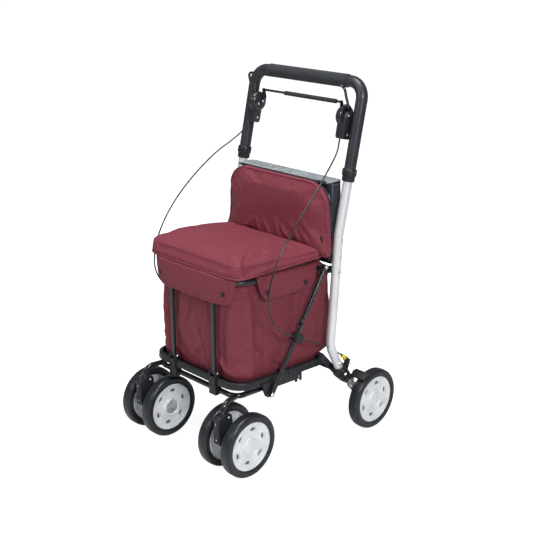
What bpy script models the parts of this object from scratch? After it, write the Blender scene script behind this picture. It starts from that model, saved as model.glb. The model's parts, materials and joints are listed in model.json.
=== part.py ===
"""Shopping rollator: a walking aid with a padded seat lid, a bag under it, twin front casters and a height-adjustable handle.

Metres, +Z up. The floor is z = 0, the walker's front is -Y and the user's left is +X.
The origin lies on the floor, midway between the front and rear axles.
"""

import math

import bmesh
import bpy
from mathutils import Matrix, Vector

# Clearances
GAP = 0.0003

# Wheels
WHEEL_RADIUS = 0.075
TYRE_WIDTH = 0.028
TYRE_WALL = 0.017
HUB_RADIUS = 0.0225
DISC_HOLES = 7
DISC_HOLE_RING = 0.040
DISC_HOLE_LENGTH = 0.016
DISC_HOLE_WIDTH = 0.009
DISC_HOLE_DEPTH = 0.004
AXLE_RADIUS = 0.004
WHEELBASE = 0.3716
REAR_WHEEL_X = 0.224

# Casters
CASTER_X = 0.138
CASTER_WHEEL_OFFSET = 0.0375
CASTER_TRAIL = 0.039
FORK_WIDTH = 0.019
FORK_NOSE = 0.021
FORK_TOP = 0.152
FORK_NOSE_BOTTOM = 0.084
STEM_RADIUS = 0.0055

# Uprights: a straight leg, a bend back to the rear wheel and a bend back to the handle
UPRIGHT_X = 0.172
UPRIGHT_RADIUS = 0.011
LEG_BEND = (0.0900, 0.2249)
WAIST_Z = 0.4953
LEG_LEAN = math.radians(5.0)
HANDLE_LEAN = math.radians(13.2)
FOOT_RAKE = math.radians(26.6)
FOOT_END_Z = 0.1468
BEND_RADIUS = 0.060
UPRIGHT_TOP_Z = 0.780

# Handle
HANDLE_RADIUS = 0.0135
HANDLE_BORE = 0.0117
HANDLE_TOP_Z = 0.834
HANDLE_BOTTOM_Z = 0.630
HANDLE_CORNER = 0.038
GRIP_RADIUS = 0.0155
GRIP_HALF_LENGTH = 0.125
COLLAR_RADIUS = 0.0168
COLLAR_SKIRT_RADIUS = 0.0148
COLLAR_HEIGHT = 0.017
COLLAR_SKIRT_HEIGHT = 0.0125
BUTTON_RADIUS = 0.004
BUTTON_STANDS = 0.002
BUTTON_TRAVEL = 0.0015

# Brake controls
BAIL_PIVOT = (0.1624, 0.7809)
BAIL_ELBOW = (0.1530, 0.8060)
BAIL_BAR = (0.1460, 0.8310)
BAIL_RADIUS = 0.003
BAIL_X = 0.1535
BAIL_CORNER = 0.040
HOUSING_CENTRE = (0.1630, 0.7600)
HOUSING_RADIUS = 0.024
HOUSING_FACE_X = 0.1280
HOUSING_BLOCK_X = 0.1340
HOUSING_BACK_X = 0.1575
PARKING_PIVOT = (0.1720, 0.7700)
PARKING_BAR = (0.1700, 0.7890)
PARKING_RADIUS = 0.0028
PARKING_SLEEVE = 0.0052
PARKING_SLEEVE_X = (-0.054, 0.110)
PARKING_HALF = 0.1240
CABLE_RADIUS = 0.0018

# Fold linkage: four pins in a parallelogram
SEAT_PIN = (0.081, 0.413)
RING_FRONT = (-0.185, 0.433)
CLEVIS_PIN = (-0.187, 0.219)
PIN_RADIUS = 0.003

# Seat
RING_LINE = (0.081, 0.424)
RING_SLOPE = 0.0752
RING_X = 0.1395
RING_RADIUS = 0.007
RING_BAR_Y = -0.181
RING_END_Y = 0.066
RING_CORNER = 0.045
BOARD_LIFT = 0.0103
BOARD_THICKNESS = 0.003
BOARD_HALF_WIDTH = 0.142
SEAT_HALF_WIDTH = 0.155
SEAT_FRONT_Y = -0.191
SEAT_REAR_Y = 0.062
SEAT_UNDERSIDE_Z = 0.454
SEAT_UNDERSIDE_REAR_Z = 0.452
SEAT_TOP_FRONT_Z = 0.492
SEAT_TOP_REAR_Z = 0.478
SEAT_CROWN = 0.009
SEAT_CORNER = 0.026

# Backrest
BACK_HALF_WIDTH = 0.162
BACK_BOTTOM_Z = 0.472
BACK_TOP_Z = 0.616
BACK_FRONT_Y = 0.083
BACK_REAR_Y = 0.1005
BACK_CROWN = 0.009
BACK_CORNER = 0.048
BACK_FRAME_Y = 0.107
BACK_FRAME_X = 0.1515
BACK_FRAME_RADIUS = 0.006
BACK_FRAME_FOOT_Z = 0.432
BACK_FRAME_TOP_Z = 0.606

# Rear pocket
POCKET_HALF_WIDTH = 0.149
POCKET_TOP_Z = 0.6125
POCKET_BOTTOM_Z = 0.418
POCKET_FRONT_Y = 0.1150
POCKET_REAR_Y = 0.150
POCKET_WALL = 0.0025
LID_FRONT_Y = 0.1012
LID_THICKNESS = 0.003

# Bag
BAG_HALF_WIDTH = 0.131
BAG_FRONT_Y = -0.168
BAG_REAR_Y = 0.0870
BAG_REAR_TOP_Y = 0.0985
BAG_BULGE_Y = 0.1180
BAG_CORNER = 0.034
BAG_WALL = 0.0025
FLAP_TOP_Z = 0.4505
FLAP_BOTTOM_Z = 0.388
FRONT_FLAP_Y = -0.1905
SIDE_FLAP_X = 0.1470
FLAP_THICKNESS = 0.0024

# Tray and base
TRAY_SLOPE = 0.065
RIM_FRONT = (-0.187, 0.200)
RIM_REAR_Y = 0.094
RIM_X = 0.146
RIM_WIDTH = 0.009
RIM_CORNER = 0.040
FLOOR_DROP = 0.003
FLOOR_THICKNESS = 0.003
SLOTS = 13
SLOT_PITCH = 0.0155
SLOT_WIDTH = 0.004
SLOT_LENGTH = 0.012
BASE_FRONT = (-0.182, 0.178)
BASE_REAR_Y = -0.085
BASE_X = 0.134
BASE_CORNER = 0.025
BASE_RADIUS = 0.0063
STRUT_X = 0.070
STRUT_WIDTH = 0.010
STRUT_DEPTH = 0.0065
CLEVIS_HALF = 0.0115
CLEVIS_PLATE = 0.003
STAY_PIN = (0.081, 0.424)
STAY_X = 0.1615
STAY_RADIUS = 0.005
STAY_FOOT = (-0.096, 0.162)
KNEE_SHARE = 0.45
CLIP_FROM_KNEE = 0.0315
CLIP_LENGTH = 0.024

# Rear bracket, axle plate and brake arm
CROSS_BAR = (0.118, 0.154)
CROSS_BAR_RADIUS = 0.005
CROSS_BAR_HALF = 0.1602
SOCKET_RADIUS = 0.0145
SOCKET_BORE = 0.0116
SOCKET_LENGTH = 0.020
BRACKET_TOE = (0.150, 0.121)
AXLE_PLATE = 0.003
SHOE_ANGLE = math.radians(28.0)
SHOE_GAP = 0.003
SHOE_THICKNESS = 0.007
SHOE_PIVOT = (0.140, 0.112)
ADJUSTER_X = 0.178
ADJUSTER_TOP = (0.1242, 0.1944)
ADJUSTER_BOTTOM = (0.1366, 0.1824)
ADJUSTER_RADIUS = 0.0050
ADJUSTER_BORE = 0.0023

FRONT_AXLE = (-WHEELBASE / 2, WHEEL_RADIUS)
REAR_AXLE = (WHEELBASE / 2, WHEEL_RADIUS)
SIDES = (("left", 1.0), ("right", -1.0))

for stale in list(bpy.data.objects):
    bpy.data.objects.remove(stale, do_unlink=True)

rollator = bpy.data.collections.new("shopping_rollator")
bpy.context.scene.collection.children.link(rollator)
cutters = bpy.data.collections.new("cutters")
bpy.context.scene.collection.children.link(cutters)
cutters.hide_render = True
joints = {}
places = {}


# Materials

def material(name, colour, roughness, metallic=0.0):
    made = bpy.data.materials.new(name)
    made.use_nodes = True
    shader = made.node_tree.nodes["Principled BSDF"]
    shader.inputs["Base Color"].default_value = (*colour, 1.0)
    shader.inputs["Roughness"].default_value = roughness
    shader.inputs["Metallic"].default_value = metallic
    made.diffuse_color = (*colour, 1.0)
    return made


FINISHES = {
    "aluminium": material("satin_aluminium", (0.66, 0.68, 0.71), 0.35, 0.9),
    "black_metal": material("black_powder_coat", (0.022, 0.024, 0.028), 0.45),
    "black_plastic": material("black_plastic", (0.028, 0.030, 0.034), 0.55),
    "foam": material("grip_foam", (0.035, 0.037, 0.043), 0.8),
    "steel": material("zinc_steel", (0.62, 0.63, 0.64), 0.3, 1.0),
    "tyre": material("tyre_rubber", (0.030, 0.032, 0.036), 0.75),
    "disc": material("silver_plastic", (0.68, 0.70, 0.72), 0.4, 0.2),
    "burgundy": material("burgundy_fabric", (0.165, 0.030, 0.048), 0.85),
    "grey_fabric": material("grey_fabric", (0.045, 0.052, 0.062), 0.85),
    "lid_fabric": material("silver_fabric", (0.42, 0.44, 0.45), 0.5),
    "yellow": material("yellow_plastic", (0.90, 0.68, 0.03), 0.45),
}


# Joints: an empty on each moving body's axis

def joint(name, position, parent=None):
    pivot = bpy.data.objects.new(name + "_axis", None)
    pivot.empty_display_size = 0.02
    rollator.objects.link(pivot)
    places[name] = Vector(position)
    pivot.location = position
    if parent:
        pivot.parent = joints[parent]
        pivot.location = places[name] - places[parent]
    joints[name] = pivot


def adopt(piece, body, finish):
    """Gives a piece its material and hangs it on its body, in the place where it was built."""
    piece.data.materials.clear()
    piece.data.materials.append(FINISHES[finish])
    if body:
        piece.parent = joints[body]
        piece.location -= places[body]
    return piece


# Shapes

def mesh_piece(name, bm, smooth=True):
    data = bpy.data.meshes.new(name)
    bmesh.ops.recalc_face_normals(bm, faces=bm.faces)
    bm.to_mesh(data)
    bm.free()
    made = bpy.data.objects.new(name, data)
    rollator.objects.link(made)
    if smooth:
        data.shade_smooth()
        data.set_sharp_from_angle(angle=math.radians(35))
    return made


def box(name, low, high):
    """A box between two corners."""
    bm = bmesh.new()
    bmesh.ops.create_cube(bm, size=1.0)
    size = Vector(high) - Vector(low)
    middle = (Vector(high) + Vector(low)) / 2
    bmesh.ops.transform(bm, matrix=Matrix.Translation(middle) @ Matrix.Diagonal((*size, 1.0)), verts=bm.verts)
    return mesh_piece(name, bm, smooth=False)


def rod(name, start, end, radius, sides=12, far_radius=None):
    """A cylinder or cone between two points."""
    start, end = Vector(start), Vector(end)
    bm = bmesh.new()
    bmesh.ops.create_cone(
        bm, cap_ends=True, segments=sides, radius1=radius,
        radius2=radius if far_radius is None else far_radius, depth=(end - start).length,
    )
    turn = (end - start).to_track_quat("Z", "Y").to_matrix().to_4x4()
    bmesh.ops.transform(bm, matrix=Matrix.Translation((start + end) / 2) @ turn, verts=bm.verts)
    return mesh_piece(name, bm)


def rounded(points, radius, steps=4):
    """A path through the given corners, each turned into an arc."""
    points = [Vector(p) for p in points]
    path = [points[0]]
    for before, corner, after in zip(points, points[1:], points[2:]):
        back, on = (before - corner).normalized(), (after - corner).normalized()
        half = back.angle(on) / 2
        if half > math.radians(89.5):
            continue
        reach = min(radius / math.tan(half), 0.48 * (before - corner).length, 0.48 * (after - corner).length)
        bend = reach * math.tan(half)
        centre = corner + (back + on).normalized() * (bend / math.sin(half))
        first = corner + back * reach - centre
        last = corner + on * reach - centre
        turn = first.angle(last)
        normal = first.cross(last).normalized()
        for step in range(steps + 1):
            path.append(centre + Matrix.Rotation(turn * step / steps, 3, normal) @ first)
    path.append(points[-1])
    return path


def tube(name, path, radius, detail=2, closed=False):
    """A round tube along a path, as a closed mesh with welded caps."""
    data = bpy.data.curves.new(name, "CURVE")
    data.dimensions = "3D"
    data.bevel_depth = radius
    data.bevel_resolution = detail
    data.use_fill_caps = not closed
    spline = data.splines.new("POLY")
    spline.points.add(len(path) - 1)
    for point, place in zip(spline.points, path):
        point.co = (*place, 1.0)
    spline.use_cyclic_u = closed
    made = bpy.data.objects.new(name, data)
    rollator.objects.link(made)
    return to_mesh(made)


def to_mesh(curve):
    """Turns a curve object into a mesh object of the same name."""
    name = curve.name
    curve.name = name + "_guide"
    bpy.context.view_layer.update()
    evaluated = curve.evaluated_get(bpy.context.evaluated_depsgraph_get())
    data = bpy.data.meshes.new_from_object(evaluated)
    data.name = name
    made = bpy.data.objects.new(name, data)
    made.matrix_world = curve.matrix_world
    rollator.objects.link(made)
    bpy.data.objects.remove(curve, do_unlink=True)
    bm = bmesh.new()
    bm.from_mesh(data)
    bmesh.ops.remove_doubles(bm, verts=bm.verts, dist=0.00001)
    bmesh.ops.recalc_face_normals(bm, faces=bm.faces)
    bm.to_mesh(data)
    bm.free()
    data.shade_smooth()
    data.set_sharp_from_angle(angle=math.radians(35))
    return made


def slab(name, outline, x_low, x_high):
    """A flat outline in Y and Z, extruded between two X values."""
    data = bpy.data.curves.new(name, "CURVE")
    data.dimensions = "2D"
    data.fill_mode = "BOTH"
    data.extrude = (x_high - x_low) / 2
    spline = data.splines.new("POLY")
    spline.points.add(len(outline) - 1)
    for point, (y, z) in zip(spline.points, outline):
        point.co = (y, z, 0.0, 1.0)
    spline.use_cyclic_u = True
    made = bpy.data.objects.new(name, data)
    made.matrix_world = Matrix.Translation(((x_low + x_high) / 2, 0, 0)) @ Matrix(
        ((0, 0, 1, 0), (1, 0, 0, 0), (0, 1, 0, 0), (0, 0, 0, 1))
    )
    rollator.objects.link(made)
    return to_mesh(made)


def link_outline(first, first_radius, last, last_radius, steps=4):
    """The outline of a flat link with a round eye at each end."""
    first, last = Vector(first), Vector(last)
    along = (last - first).normalized()
    side = math.asin((first_radius - last_radius) / (last - first).length)
    start = math.atan2(along.y, along.x)
    points = []
    for centre, radius, low, high in (
        (last, last_radius, -math.pi / 2 + side, math.pi / 2 - side),
        (first, first_radius, math.pi / 2 - side, 3 * math.pi / 2 + side),
    ):
        for step in range(steps + 1):
            angle = start + low + (high - low) * step / steps
            points.append((centre.x + radius * math.cos(angle), centre.y + radius * math.sin(angle)))
    return points


def lathe(name, origin, axis, profile, steps=24, ring=False):
    """A shape turned about an axis. The profile lists (radius, distance along the axis)."""
    turn = Vector(axis).to_track_quat("Z", "Y").to_matrix()
    bm = bmesh.new()
    rings = []
    for radius, height in profile:
        count = steps if radius > 0 else 1
        angles = [2 * math.pi * step / steps for step in range(count)]
        spots = [Vector((radius * math.cos(a), radius * math.sin(a), height)) for a in angles]
        rings.append([bm.verts.new(Vector(origin) + turn @ spot) for spot in spots])
    pairs = list(zip(rings, rings[1:]))
    if ring:
        pairs.append((rings[-1], rings[0]))
    for first, second in pairs:
        for step in range(steps):
            after = (step + 1) % steps
            corners = [first[step % len(first)], first[after % len(first)]]
            corners += [second[after % len(second)], second[step % len(second)]]
            bm.faces.new(list(dict.fromkeys(corners)))
    return mesh_piece(name, bm)


def loft(name, loops, smooth=True):
    """A closed body through loops with equal numbers of points, with a face over each end."""
    bm = bmesh.new()
    rings = [[bm.verts.new(place) for place in loop] for loop in loops]
    for first, second in zip(rings, rings[1:]):
        for here in range(len(first)):
            after = (here + 1) % len(first)
            bm.faces.new((first[here], first[after], second[after], second[here]))
    bm.faces.new(list(reversed(rings[0])))
    bm.faces.new(rings[-1])
    return mesh_piece(name, bm, smooth)


def sweep(name, path, section, closed=False):
    """A section of (outward, upward) points carried along a nearly level path."""
    bm = bmesh.new()
    rings = []
    for here, place in enumerate(path):
        before = path[here - 1] if here or closed else place
        after = path[(here + 1) % len(path)] if here + 1 < len(path) or closed else place
        along = Vector((after.x - before.x, after.y - before.y, 0.0)).normalized()
        outward = Vector((along.y, -along.x, 0.0))
        rings.append([bm.verts.new(place + outward * a + Vector((0, 0, b))) for a, b in section])
    pairs = list(zip(rings, rings[1:]))
    if closed:
        pairs.append((rings[-1], rings[0]))
    for first, second in pairs:
        for step in range(len(section)):
            after = (step + 1) % len(section)
            bm.faces.new((first[step], first[after], second[after], second[step]))
    if not closed:
        bm.faces.new(list(reversed(rings[0])))
        bm.faces.new(rings[-1])
    return mesh_piece(name, bm)


def rounded_rectangle(half, low, high, low_radius, high_radius, steps=4):
    """Points round a rectangle, counterclockwise, with its own radius at the low and the high corners."""
    points = []
    for x, y, radius, start in (
        (half - low_radius, low + low_radius, low_radius, -90),
        (half - high_radius, high - high_radius, high_radius, 0),
        (high_radius - half, high - high_radius, high_radius, 90),
        (low_radius - half, low + low_radius, low_radius, 180),
    ):
        for step in range(steps + 1):
            angle = math.radians(start + 90 * step / steps)
            points.append((x + radius * math.cos(angle), y + radius * math.sin(angle)))
    return points


def inset_rectangle(inset, half, low, high, low_radius, high_radius, steps=4):
    low_radius = max(low_radius - inset, 0.3 * low_radius)
    high_radius = max(high_radius - inset, 0.3 * high_radius)
    return rounded_rectangle(half - inset, low + inset, high - inset, low_radius, high_radius, steps)


def boxes(name, corners):
    """Several separate boxes in one mesh, for use as a cutter."""
    bm = bmesh.new()
    for low, high in corners:
        made = bmesh.ops.create_cube(bm, size=1.0)["verts"]
        size = Vector(high) - Vector(low)
        middle = (Vector(high) + Vector(low)) / 2
        place = Matrix.Translation(middle) @ Matrix.Diagonal((*size, 1.0))
        bmesh.ops.transform(bm, matrix=place, verts=made)
    return mesh_piece(name, bm, smooth=False)


def helper(piece):
    rollator.objects.unlink(piece)
    cutters.objects.link(piece)
    piece.hide_render = True
    piece.display_type = "WIRE"
    return piece


def combine(piece, others, operation):
    for other in others:
        change = piece.modifiers.new(operation.lower(), "BOOLEAN")
        change.operation = operation
        change.solver = "EXACT"
        change.object = helper(other)
    return piece


def fuse(piece, *others):
    return combine(piece, others, "UNION")


def cut(piece, *others):
    return combine(piece, others, "DIFFERENCE")


# Frame lines

def leg_y(z):
    """Y of an upright's centre line at a height."""
    waist_y = LEG_BEND[0] + math.tan(LEG_LEAN) * (WAIST_Z - LEG_BEND[1])
    if z > WAIST_Z:
        return waist_y + math.tan(HANDLE_LEAN) * (z - WAIST_Z)
    if z > LEG_BEND[1]:
        return LEG_BEND[0] + math.tan(LEG_LEAN) * (z - LEG_BEND[1])
    return LEG_BEND[0] + math.tan(FOOT_RAKE) * (LEG_BEND[1] - z)


def rim_z(y):
    return RIM_FRONT[1] - TRAY_SLOPE * (y - RIM_FRONT[0])


def base_z(y):
    return BASE_FRONT[1] - TRAY_SLOPE * (y - BASE_FRONT[0])


def ring_z(y):
    return RING_LINE[1] - RING_SLOPE * (y - RING_LINE[0])


BASE_PIN = (
    SEAT_PIN[0] - RING_FRONT[0] + CLEVIS_PIN[0],
    SEAT_PIN[1] - RING_FRONT[1] + CLEVIS_PIN[1],
)
STAY_KNEE = (
    STAY_PIN[0] + KNEE_SHARE * (STAY_FOOT[0] - STAY_PIN[0]),
    STAY_PIN[1] + KNEE_SHARE * (STAY_FOOT[1] - STAY_PIN[1]),
)
STEM_Y = FRONT_AXLE[0] - CASTER_TRAIL


def define_joints():
    joint("handle", (0.0, leg_y(HANDLE_BOTTOM_Z), HANDLE_BOTTOM_Z))
    joint("pocket_lid", (0.0, POCKET_REAR_Y, POCKET_TOP_Z))
    joint("brake_bail", (0.0, *BAIL_PIVOT), "handle")
    joint("parking_bar", (0.0, *PARKING_PIVOT), "handle")
    joint("seat_ring", (0.0, *SEAT_PIN))
    joint("seat_lid", (0.0, SEAT_REAR_Y, SEAT_TOP_REAR_Z), "seat_ring")
    joint("base", (0.0, *BASE_PIN))
    joint("struts", (0.0, *CLEVIS_PIN), "base")
    joint("stay_upper", (0.0, *STAY_PIN))
    joint("stay_lower", (0.0, *STAY_KNEE), "stay_upper")
    for side, sign in SIDES:
        button = (sign * (UPRIGHT_X + HANDLE_RADIUS), leg_y(HANDLE_BOTTOM_Z), HANDLE_BOTTOM_Z)
        joint("button_" + side, button, "handle")
        joint("caster_" + side, (sign * CASTER_X, STEM_Y, FRONT_AXLE[1]), "base")
        for place, offset in (("outer", 1.0), ("inner", -1.0)):
            x = sign * (CASTER_X + offset * CASTER_WHEEL_OFFSET)
            joint(f"front_wheel_{side}_{place}", (x, *FRONT_AXLE), "caster_" + side)
        joint("rear_wheel_" + side, (sign * REAR_WHEEL_X, *REAR_AXLE))
        joint("brake_arm_" + side, (sign * REAR_WHEEL_X, *SHOE_PIVOT))


# Brake cables, from the housing to the brake arm, as (|X|, Y, Z)

CABLE_ROUTE = (
    (0.1455, 0.1448, 0.7206), (0.14785, 0.13992, 0.71353), (0.1560, 0.1230, 0.6890), (0.1660, 0.0945, 0.6680),
    (0.1750, 0.0660, 0.6510), (0.1825, 0.0380, 0.6310), (0.1880, 0.0046, 0.6062), (0.1915, -0.0330, 0.5755),
    (0.1935, -0.0640, 0.5460), (0.1940, -0.0930, 0.5130), (0.1940, -0.1155, 0.4790), (0.1940, -0.1310, 0.4400),
    (0.1940, -0.1360, 0.4030), (0.1930, -0.1290, 0.3720), (0.1900, -0.1110, 0.3440), (0.1840, -0.0840, 0.3200),
    (0.1765, -0.0540, 0.3005), (0.1700, -0.0312, 0.2880), (0.1700, -0.0180, 0.2808), (0.1700, -0.0040, 0.2731),
    (0.1660, 0.0300, 0.2555), (0.1590, 0.0640, 0.2370), (0.1545, 0.0880, 0.2240), (0.1570, 0.1060, 0.2125),
    (0.1680, 0.1150, 0.2035), (0.1780, 0.1213, 0.1972),
)
ADJUSTER_ROUTE = ((0.1780, 0.1242, 0.1944), (0.1780, 0.1366, 0.1824), (0.1780, 0.14163, 0.17753))
WIRE_ROUTE = (
    (0.1780, 0.1421, 0.1771), (0.1780, 0.1488, 0.1706), (0.1830, 0.1508, 0.1655), (0.1900, 0.1508, 0.1580),
    (0.1942, 0.1500, 0.1520), (0.1943, 0.1490, 0.1480),
)
WIRE_SHARE = 0.45
CLIP_STEPS = (17, 19)


def mirrored(place, sign):
    return Vector((sign * place[0], place[1], place[2]))


def smooth_route(guides, samples):
    """A Catmull-Rom curve through the guide points."""
    route = []
    for before, here, after, beyond in zip([guides[0]] + guides, guides, guides[1:], guides[2:] + [guides[-1]]):
        for step in range(samples):
            t = step / samples
            route.append(0.5 * (
                2 * here + (after - before) * t + (2 * before - 5 * here + 4 * after - beyond) * t * t
                + (3 * here - before - 3 * after + beyond) * t ** 3
            ))
    return route + [guides[-1]]


def cable_path(sign):
    """The cable's points on one side, each with whether the sheath covers it."""
    bowed = smooth_route([mirrored(place, sign) for place in CABLE_ROUTE], 2)
    held = [mirrored(place, sign) for place in ADJUSTER_ROUTE]
    route = bowed + held + [mirrored(place, sign) for place in WIRE_ROUTE]
    kept = [(route[0], True)]
    for number in range(1, len(route) - 1):
        into, out = route[number] - kept[-1][0], route[number + 1] - route[number]
        straight = number >= len(bowed) - 1
        if straight or into.length > 0.034 or into.angle(out) > math.radians(6.0):
            kept.append((route[number], number < len(bowed) + len(held)))
    return kept + [(route[-1], False)]


def cable_clearance(sign, first, last):
    """A cutter round part of the cable's own path, a little wider than the cable."""
    route = [place for place, covered in cable_path(sign)]
    part = route[first:last]
    start = part[0] - (part[1] - part[0]).normalized() * 0.0008
    return tube("cable_clearance", [start] + part, CABLE_RADIUS + 0.0006)


def cable_channel(side):
    """A straight cutter for the cable's way through the stay clip."""
    sign = dict(SIDES)[side]
    first, last = (mirrored(CABLE_ROUTE[step], sign) for step in CLIP_STEPS)
    along = (last - first).normalized()
    return rod("channel", first - along * 0.004, last + along * 0.004, CABLE_RADIUS + 0.0006, 8)


def build_cables():
    for side, sign in SIDES:
        route = cable_path(sign)
        data = bpy.data.curves.new("brake_cable_" + side, "CURVE")
        data.dimensions = "3D"
        data.bevel_depth = CABLE_RADIUS
        data.bevel_resolution = 2
        data.use_fill_caps = True
        data.render_resolution_u = 0
        spline = data.splines.new("POLY")
        spline.points.add(len(route) - 1)
        for point, (place, covered) in zip(spline.points, route):
            point.co = (*place, 1.0)
            point.radius = 1.0 if covered else WIRE_SHARE
        cable = bpy.data.objects.new("brake_cable_" + side, data)
        rollator.objects.link(cable)
        adopt(cable, None, "black_plastic")
        start, end = Vector(ADJUSTER_TOP), Vector(ADJUSTER_BOTTOM)
        length = (end - start).length
        down = (end - start).normalized()
        radius, bore = ADJUSTER_RADIUS, ADJUSTER_BORE
        profile = [
            (bore, 0.0), (0.62 * radius, 0.0), (0.62 * radius, 0.18 * length), (radius - 0.0006, 0.20 * length),
            (radius, 0.26 * length), (radius, length - 0.0008), (radius - 0.0008, length), (bore, length),
        ]
        barrel = lathe("cable_adjuster_" + side, (sign * ADJUSTER_X, *ADJUSTER_TOP), (0, down.x, down.y), profile, 10, True)
        adopt(barrel, None, "yellow")


# Frame

def build_uprights():
    foot = (leg_y(FOOT_END_Z), FOOT_END_Z)
    top = (leg_y(UPRIGHT_TOP_Z), UPRIGHT_TOP_Z)
    for side, sign in SIDES:
        x = sign * UPRIGHT_X
        corners = [(x, *foot), (x, *LEG_BEND), (x, leg_y(WAIST_Z), WAIST_Z), (x, *top)]
        adopt(tube("upright_" + side, rounded(corners, BEND_RADIUS, 3), UPRIGHT_RADIUS, 3), None, "aluminium")


def build_rear_brackets():
    rake = Vector((0.0, math.sin(FOOT_RAKE), -math.cos(FOOT_RAKE)))
    for side, sign in SIDES:
        x = sign * UPRIGHT_X
        foot = Vector((x, leg_y(FOOT_END_Z), FOOT_END_Z))
        low, high = sorted((sign * 0.158, sign * 0.1885))
        inner = sorted((sign * 0.158, sign * 0.1675))
        toe = link_outline((foot.y, foot.z - 0.002), 0.0135, BRACKET_TOE, 0.010)
        bracket = rod("rear_bracket_" + side, foot - rake * SOCKET_LENGTH, foot + rake * 0.006, SOCKET_RADIUS, 14)
        boss_top = Vector((sign * ADJUSTER_X, ADJUSTER_BOTTOM[0] + 0.0004, ADJUSTER_BOTTOM[1] - 0.0004))
        down = (Vector(ADJUSTER_BOTTOM) - Vector(ADJUSTER_TOP)).normalized()
        boss_end = boss_top + Vector((0.0, down.x, down.y)) * 0.013
        lug = slab("lug", link_outline(CROSS_BAR, 0.009, (foot.y, foot.z), 0.012), *inner)
        fuse(
            bracket,
            slab("toe", toe, low, high),
            lug,
            rod("boss", boss_top, boss_end, 0.0062, 10),
            slab("arm", link_outline((foot.y + 0.004, foot.z), 0.009, (boss_end.y, boss_end.z), 0.006),
                 *sorted((sign * 0.174, sign * 0.182))),
        )
        cut(
            bracket,
            rod("upright_bore", foot + rake * GAP, foot - rake * 0.060, SOCKET_BORE, 14),
            rod("bar_bore", (sign * 0.150, *CROSS_BAR), (sign * (CROSS_BAR_HALF + GAP), *CROSS_BAR), CROSS_BAR_RADIUS + GAP, 12),
            cable_clearance(sign, -12, None),
        )
        adopt(bracket, None, "black_plastic")


def build_cross_bar():
    bar = rod("rear_cross_bar", (-CROSS_BAR_HALF, *CROSS_BAR), (CROSS_BAR_HALF, *CROSS_BAR), CROSS_BAR_RADIUS, 12)
    ear = link_outline(CROSS_BAR, 0.0075, BASE_PIN, 0.007)
    for side, sign in SIDES:
        fuse(
            bar,
            slab("ear", ear, *sorted((sign * 0.1540, sign * 0.1570))),
            rod("pin", (sign * 0.1435, *BASE_PIN), (sign * 0.1590, *BASE_PIN), PIN_RADIUS, 10),
        )
    adopt(bar, None, "black_metal")


def build_rear_axles():
    for side, sign in SIDES:
        plate = link_outline((0.1435, 0.1180), 0.0105, REAR_AXLE, 0.012)
        axle = slab("rear_axle_" + side, plate, *sorted((sign * 0.1890, sign * (0.1890 + AXLE_PLATE))))
        fuse(
            axle,
            rod("spindle", (sign * 0.1895, *REAR_AXLE), (sign * 0.2330, *REAR_AXLE), AXLE_RADIUS, 12),
            rod("pivot", (sign * 0.1895, *SHOE_PIVOT), (sign * 0.2010, *SHOE_PIVOT), PIN_RADIUS, 10),
        )
        adopt(axle, None, "steel")


def build_seat_hinges():
    anchor = (leg_y(0.411), 0.411)
    for side, sign in SIDES:
        ends = sorted((sign * 0.1525, sign * 0.1555))
        plate = slab("seat_hinge_" + side, link_outline(SEAT_PIN, 0.0075, anchor, 0.009), *ends)
        fuse(
            plate,
            slab("top", link_outline(STAY_PIN, 0.0065, anchor, 0.006), *ends),
            rod("boss", (sign * 0.1530, *anchor), (sign * (UPRIGHT_X - UPRIGHT_RADIUS - GAP), *anchor), 0.007, 10),
            rod("ring_pin", (sign * 0.1385, *SEAT_PIN), (sign * 0.1540, *SEAT_PIN), PIN_RADIUS, 10),
            rod("stay_pin", (sign * 0.1540, *STAY_PIN), (sign * 0.1675, *STAY_PIN), PIN_RADIUS, 10),
        )
        adopt(plate, None, "black_metal")


def build_back_frame():
    x, y = BACK_FRAME_X, BACK_FRAME_Y
    foot, top = BACK_FRAME_FOOT_Z, BACK_FRAME_TOP_Z
    path = rounded([(x, y, foot), (x, y, top), (-x, y, top), (-x, y, foot)], BACK_CORNER - 0.004)
    frame = tube("backrest_frame", path, BACK_FRAME_RADIUS)
    for side, sign in SIDES:
        for z in (0.446, 0.486):
            end = UPRIGHT_X - UPRIGHT_RADIUS - GAP
            fuse(frame, rod("lug", (sign * x, y, z), (sign * end, y, z), 0.0035, 8))
    adopt(frame, None, "black_metal")


# Soft goods

def build_back_cushion():
    shape = (BACK_HALF_WIDTH, BACK_BOTTOM_Z, BACK_TOP_Z, 0.020, BACK_CORNER)
    loops = []
    for inset, y in (
        (0.006, BACK_REAR_Y), (0.001, BACK_REAR_Y - 0.0035), (0.000, BACK_REAR_Y - 0.009),
        (0.0035, BACK_FRONT_Y + 0.003), (0.012, BACK_FRONT_Y - 0.15 * BACK_CROWN),
        (0.026, BACK_FRONT_Y - 0.55 * BACK_CROWN), (0.044, BACK_FRONT_Y - 0.88 * BACK_CROWN),
        (0.060, BACK_FRONT_Y - BACK_CROWN),
    ):
        loops.append([(x, y, z) for x, z in inset_rectangle(inset, *shape)])
    adopt(loft("backrest_cushion", loops), None, "burgundy")


def board_top(y):
    return ring_z(y) + BOARD_LIFT + BOARD_THICKNESS


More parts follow.
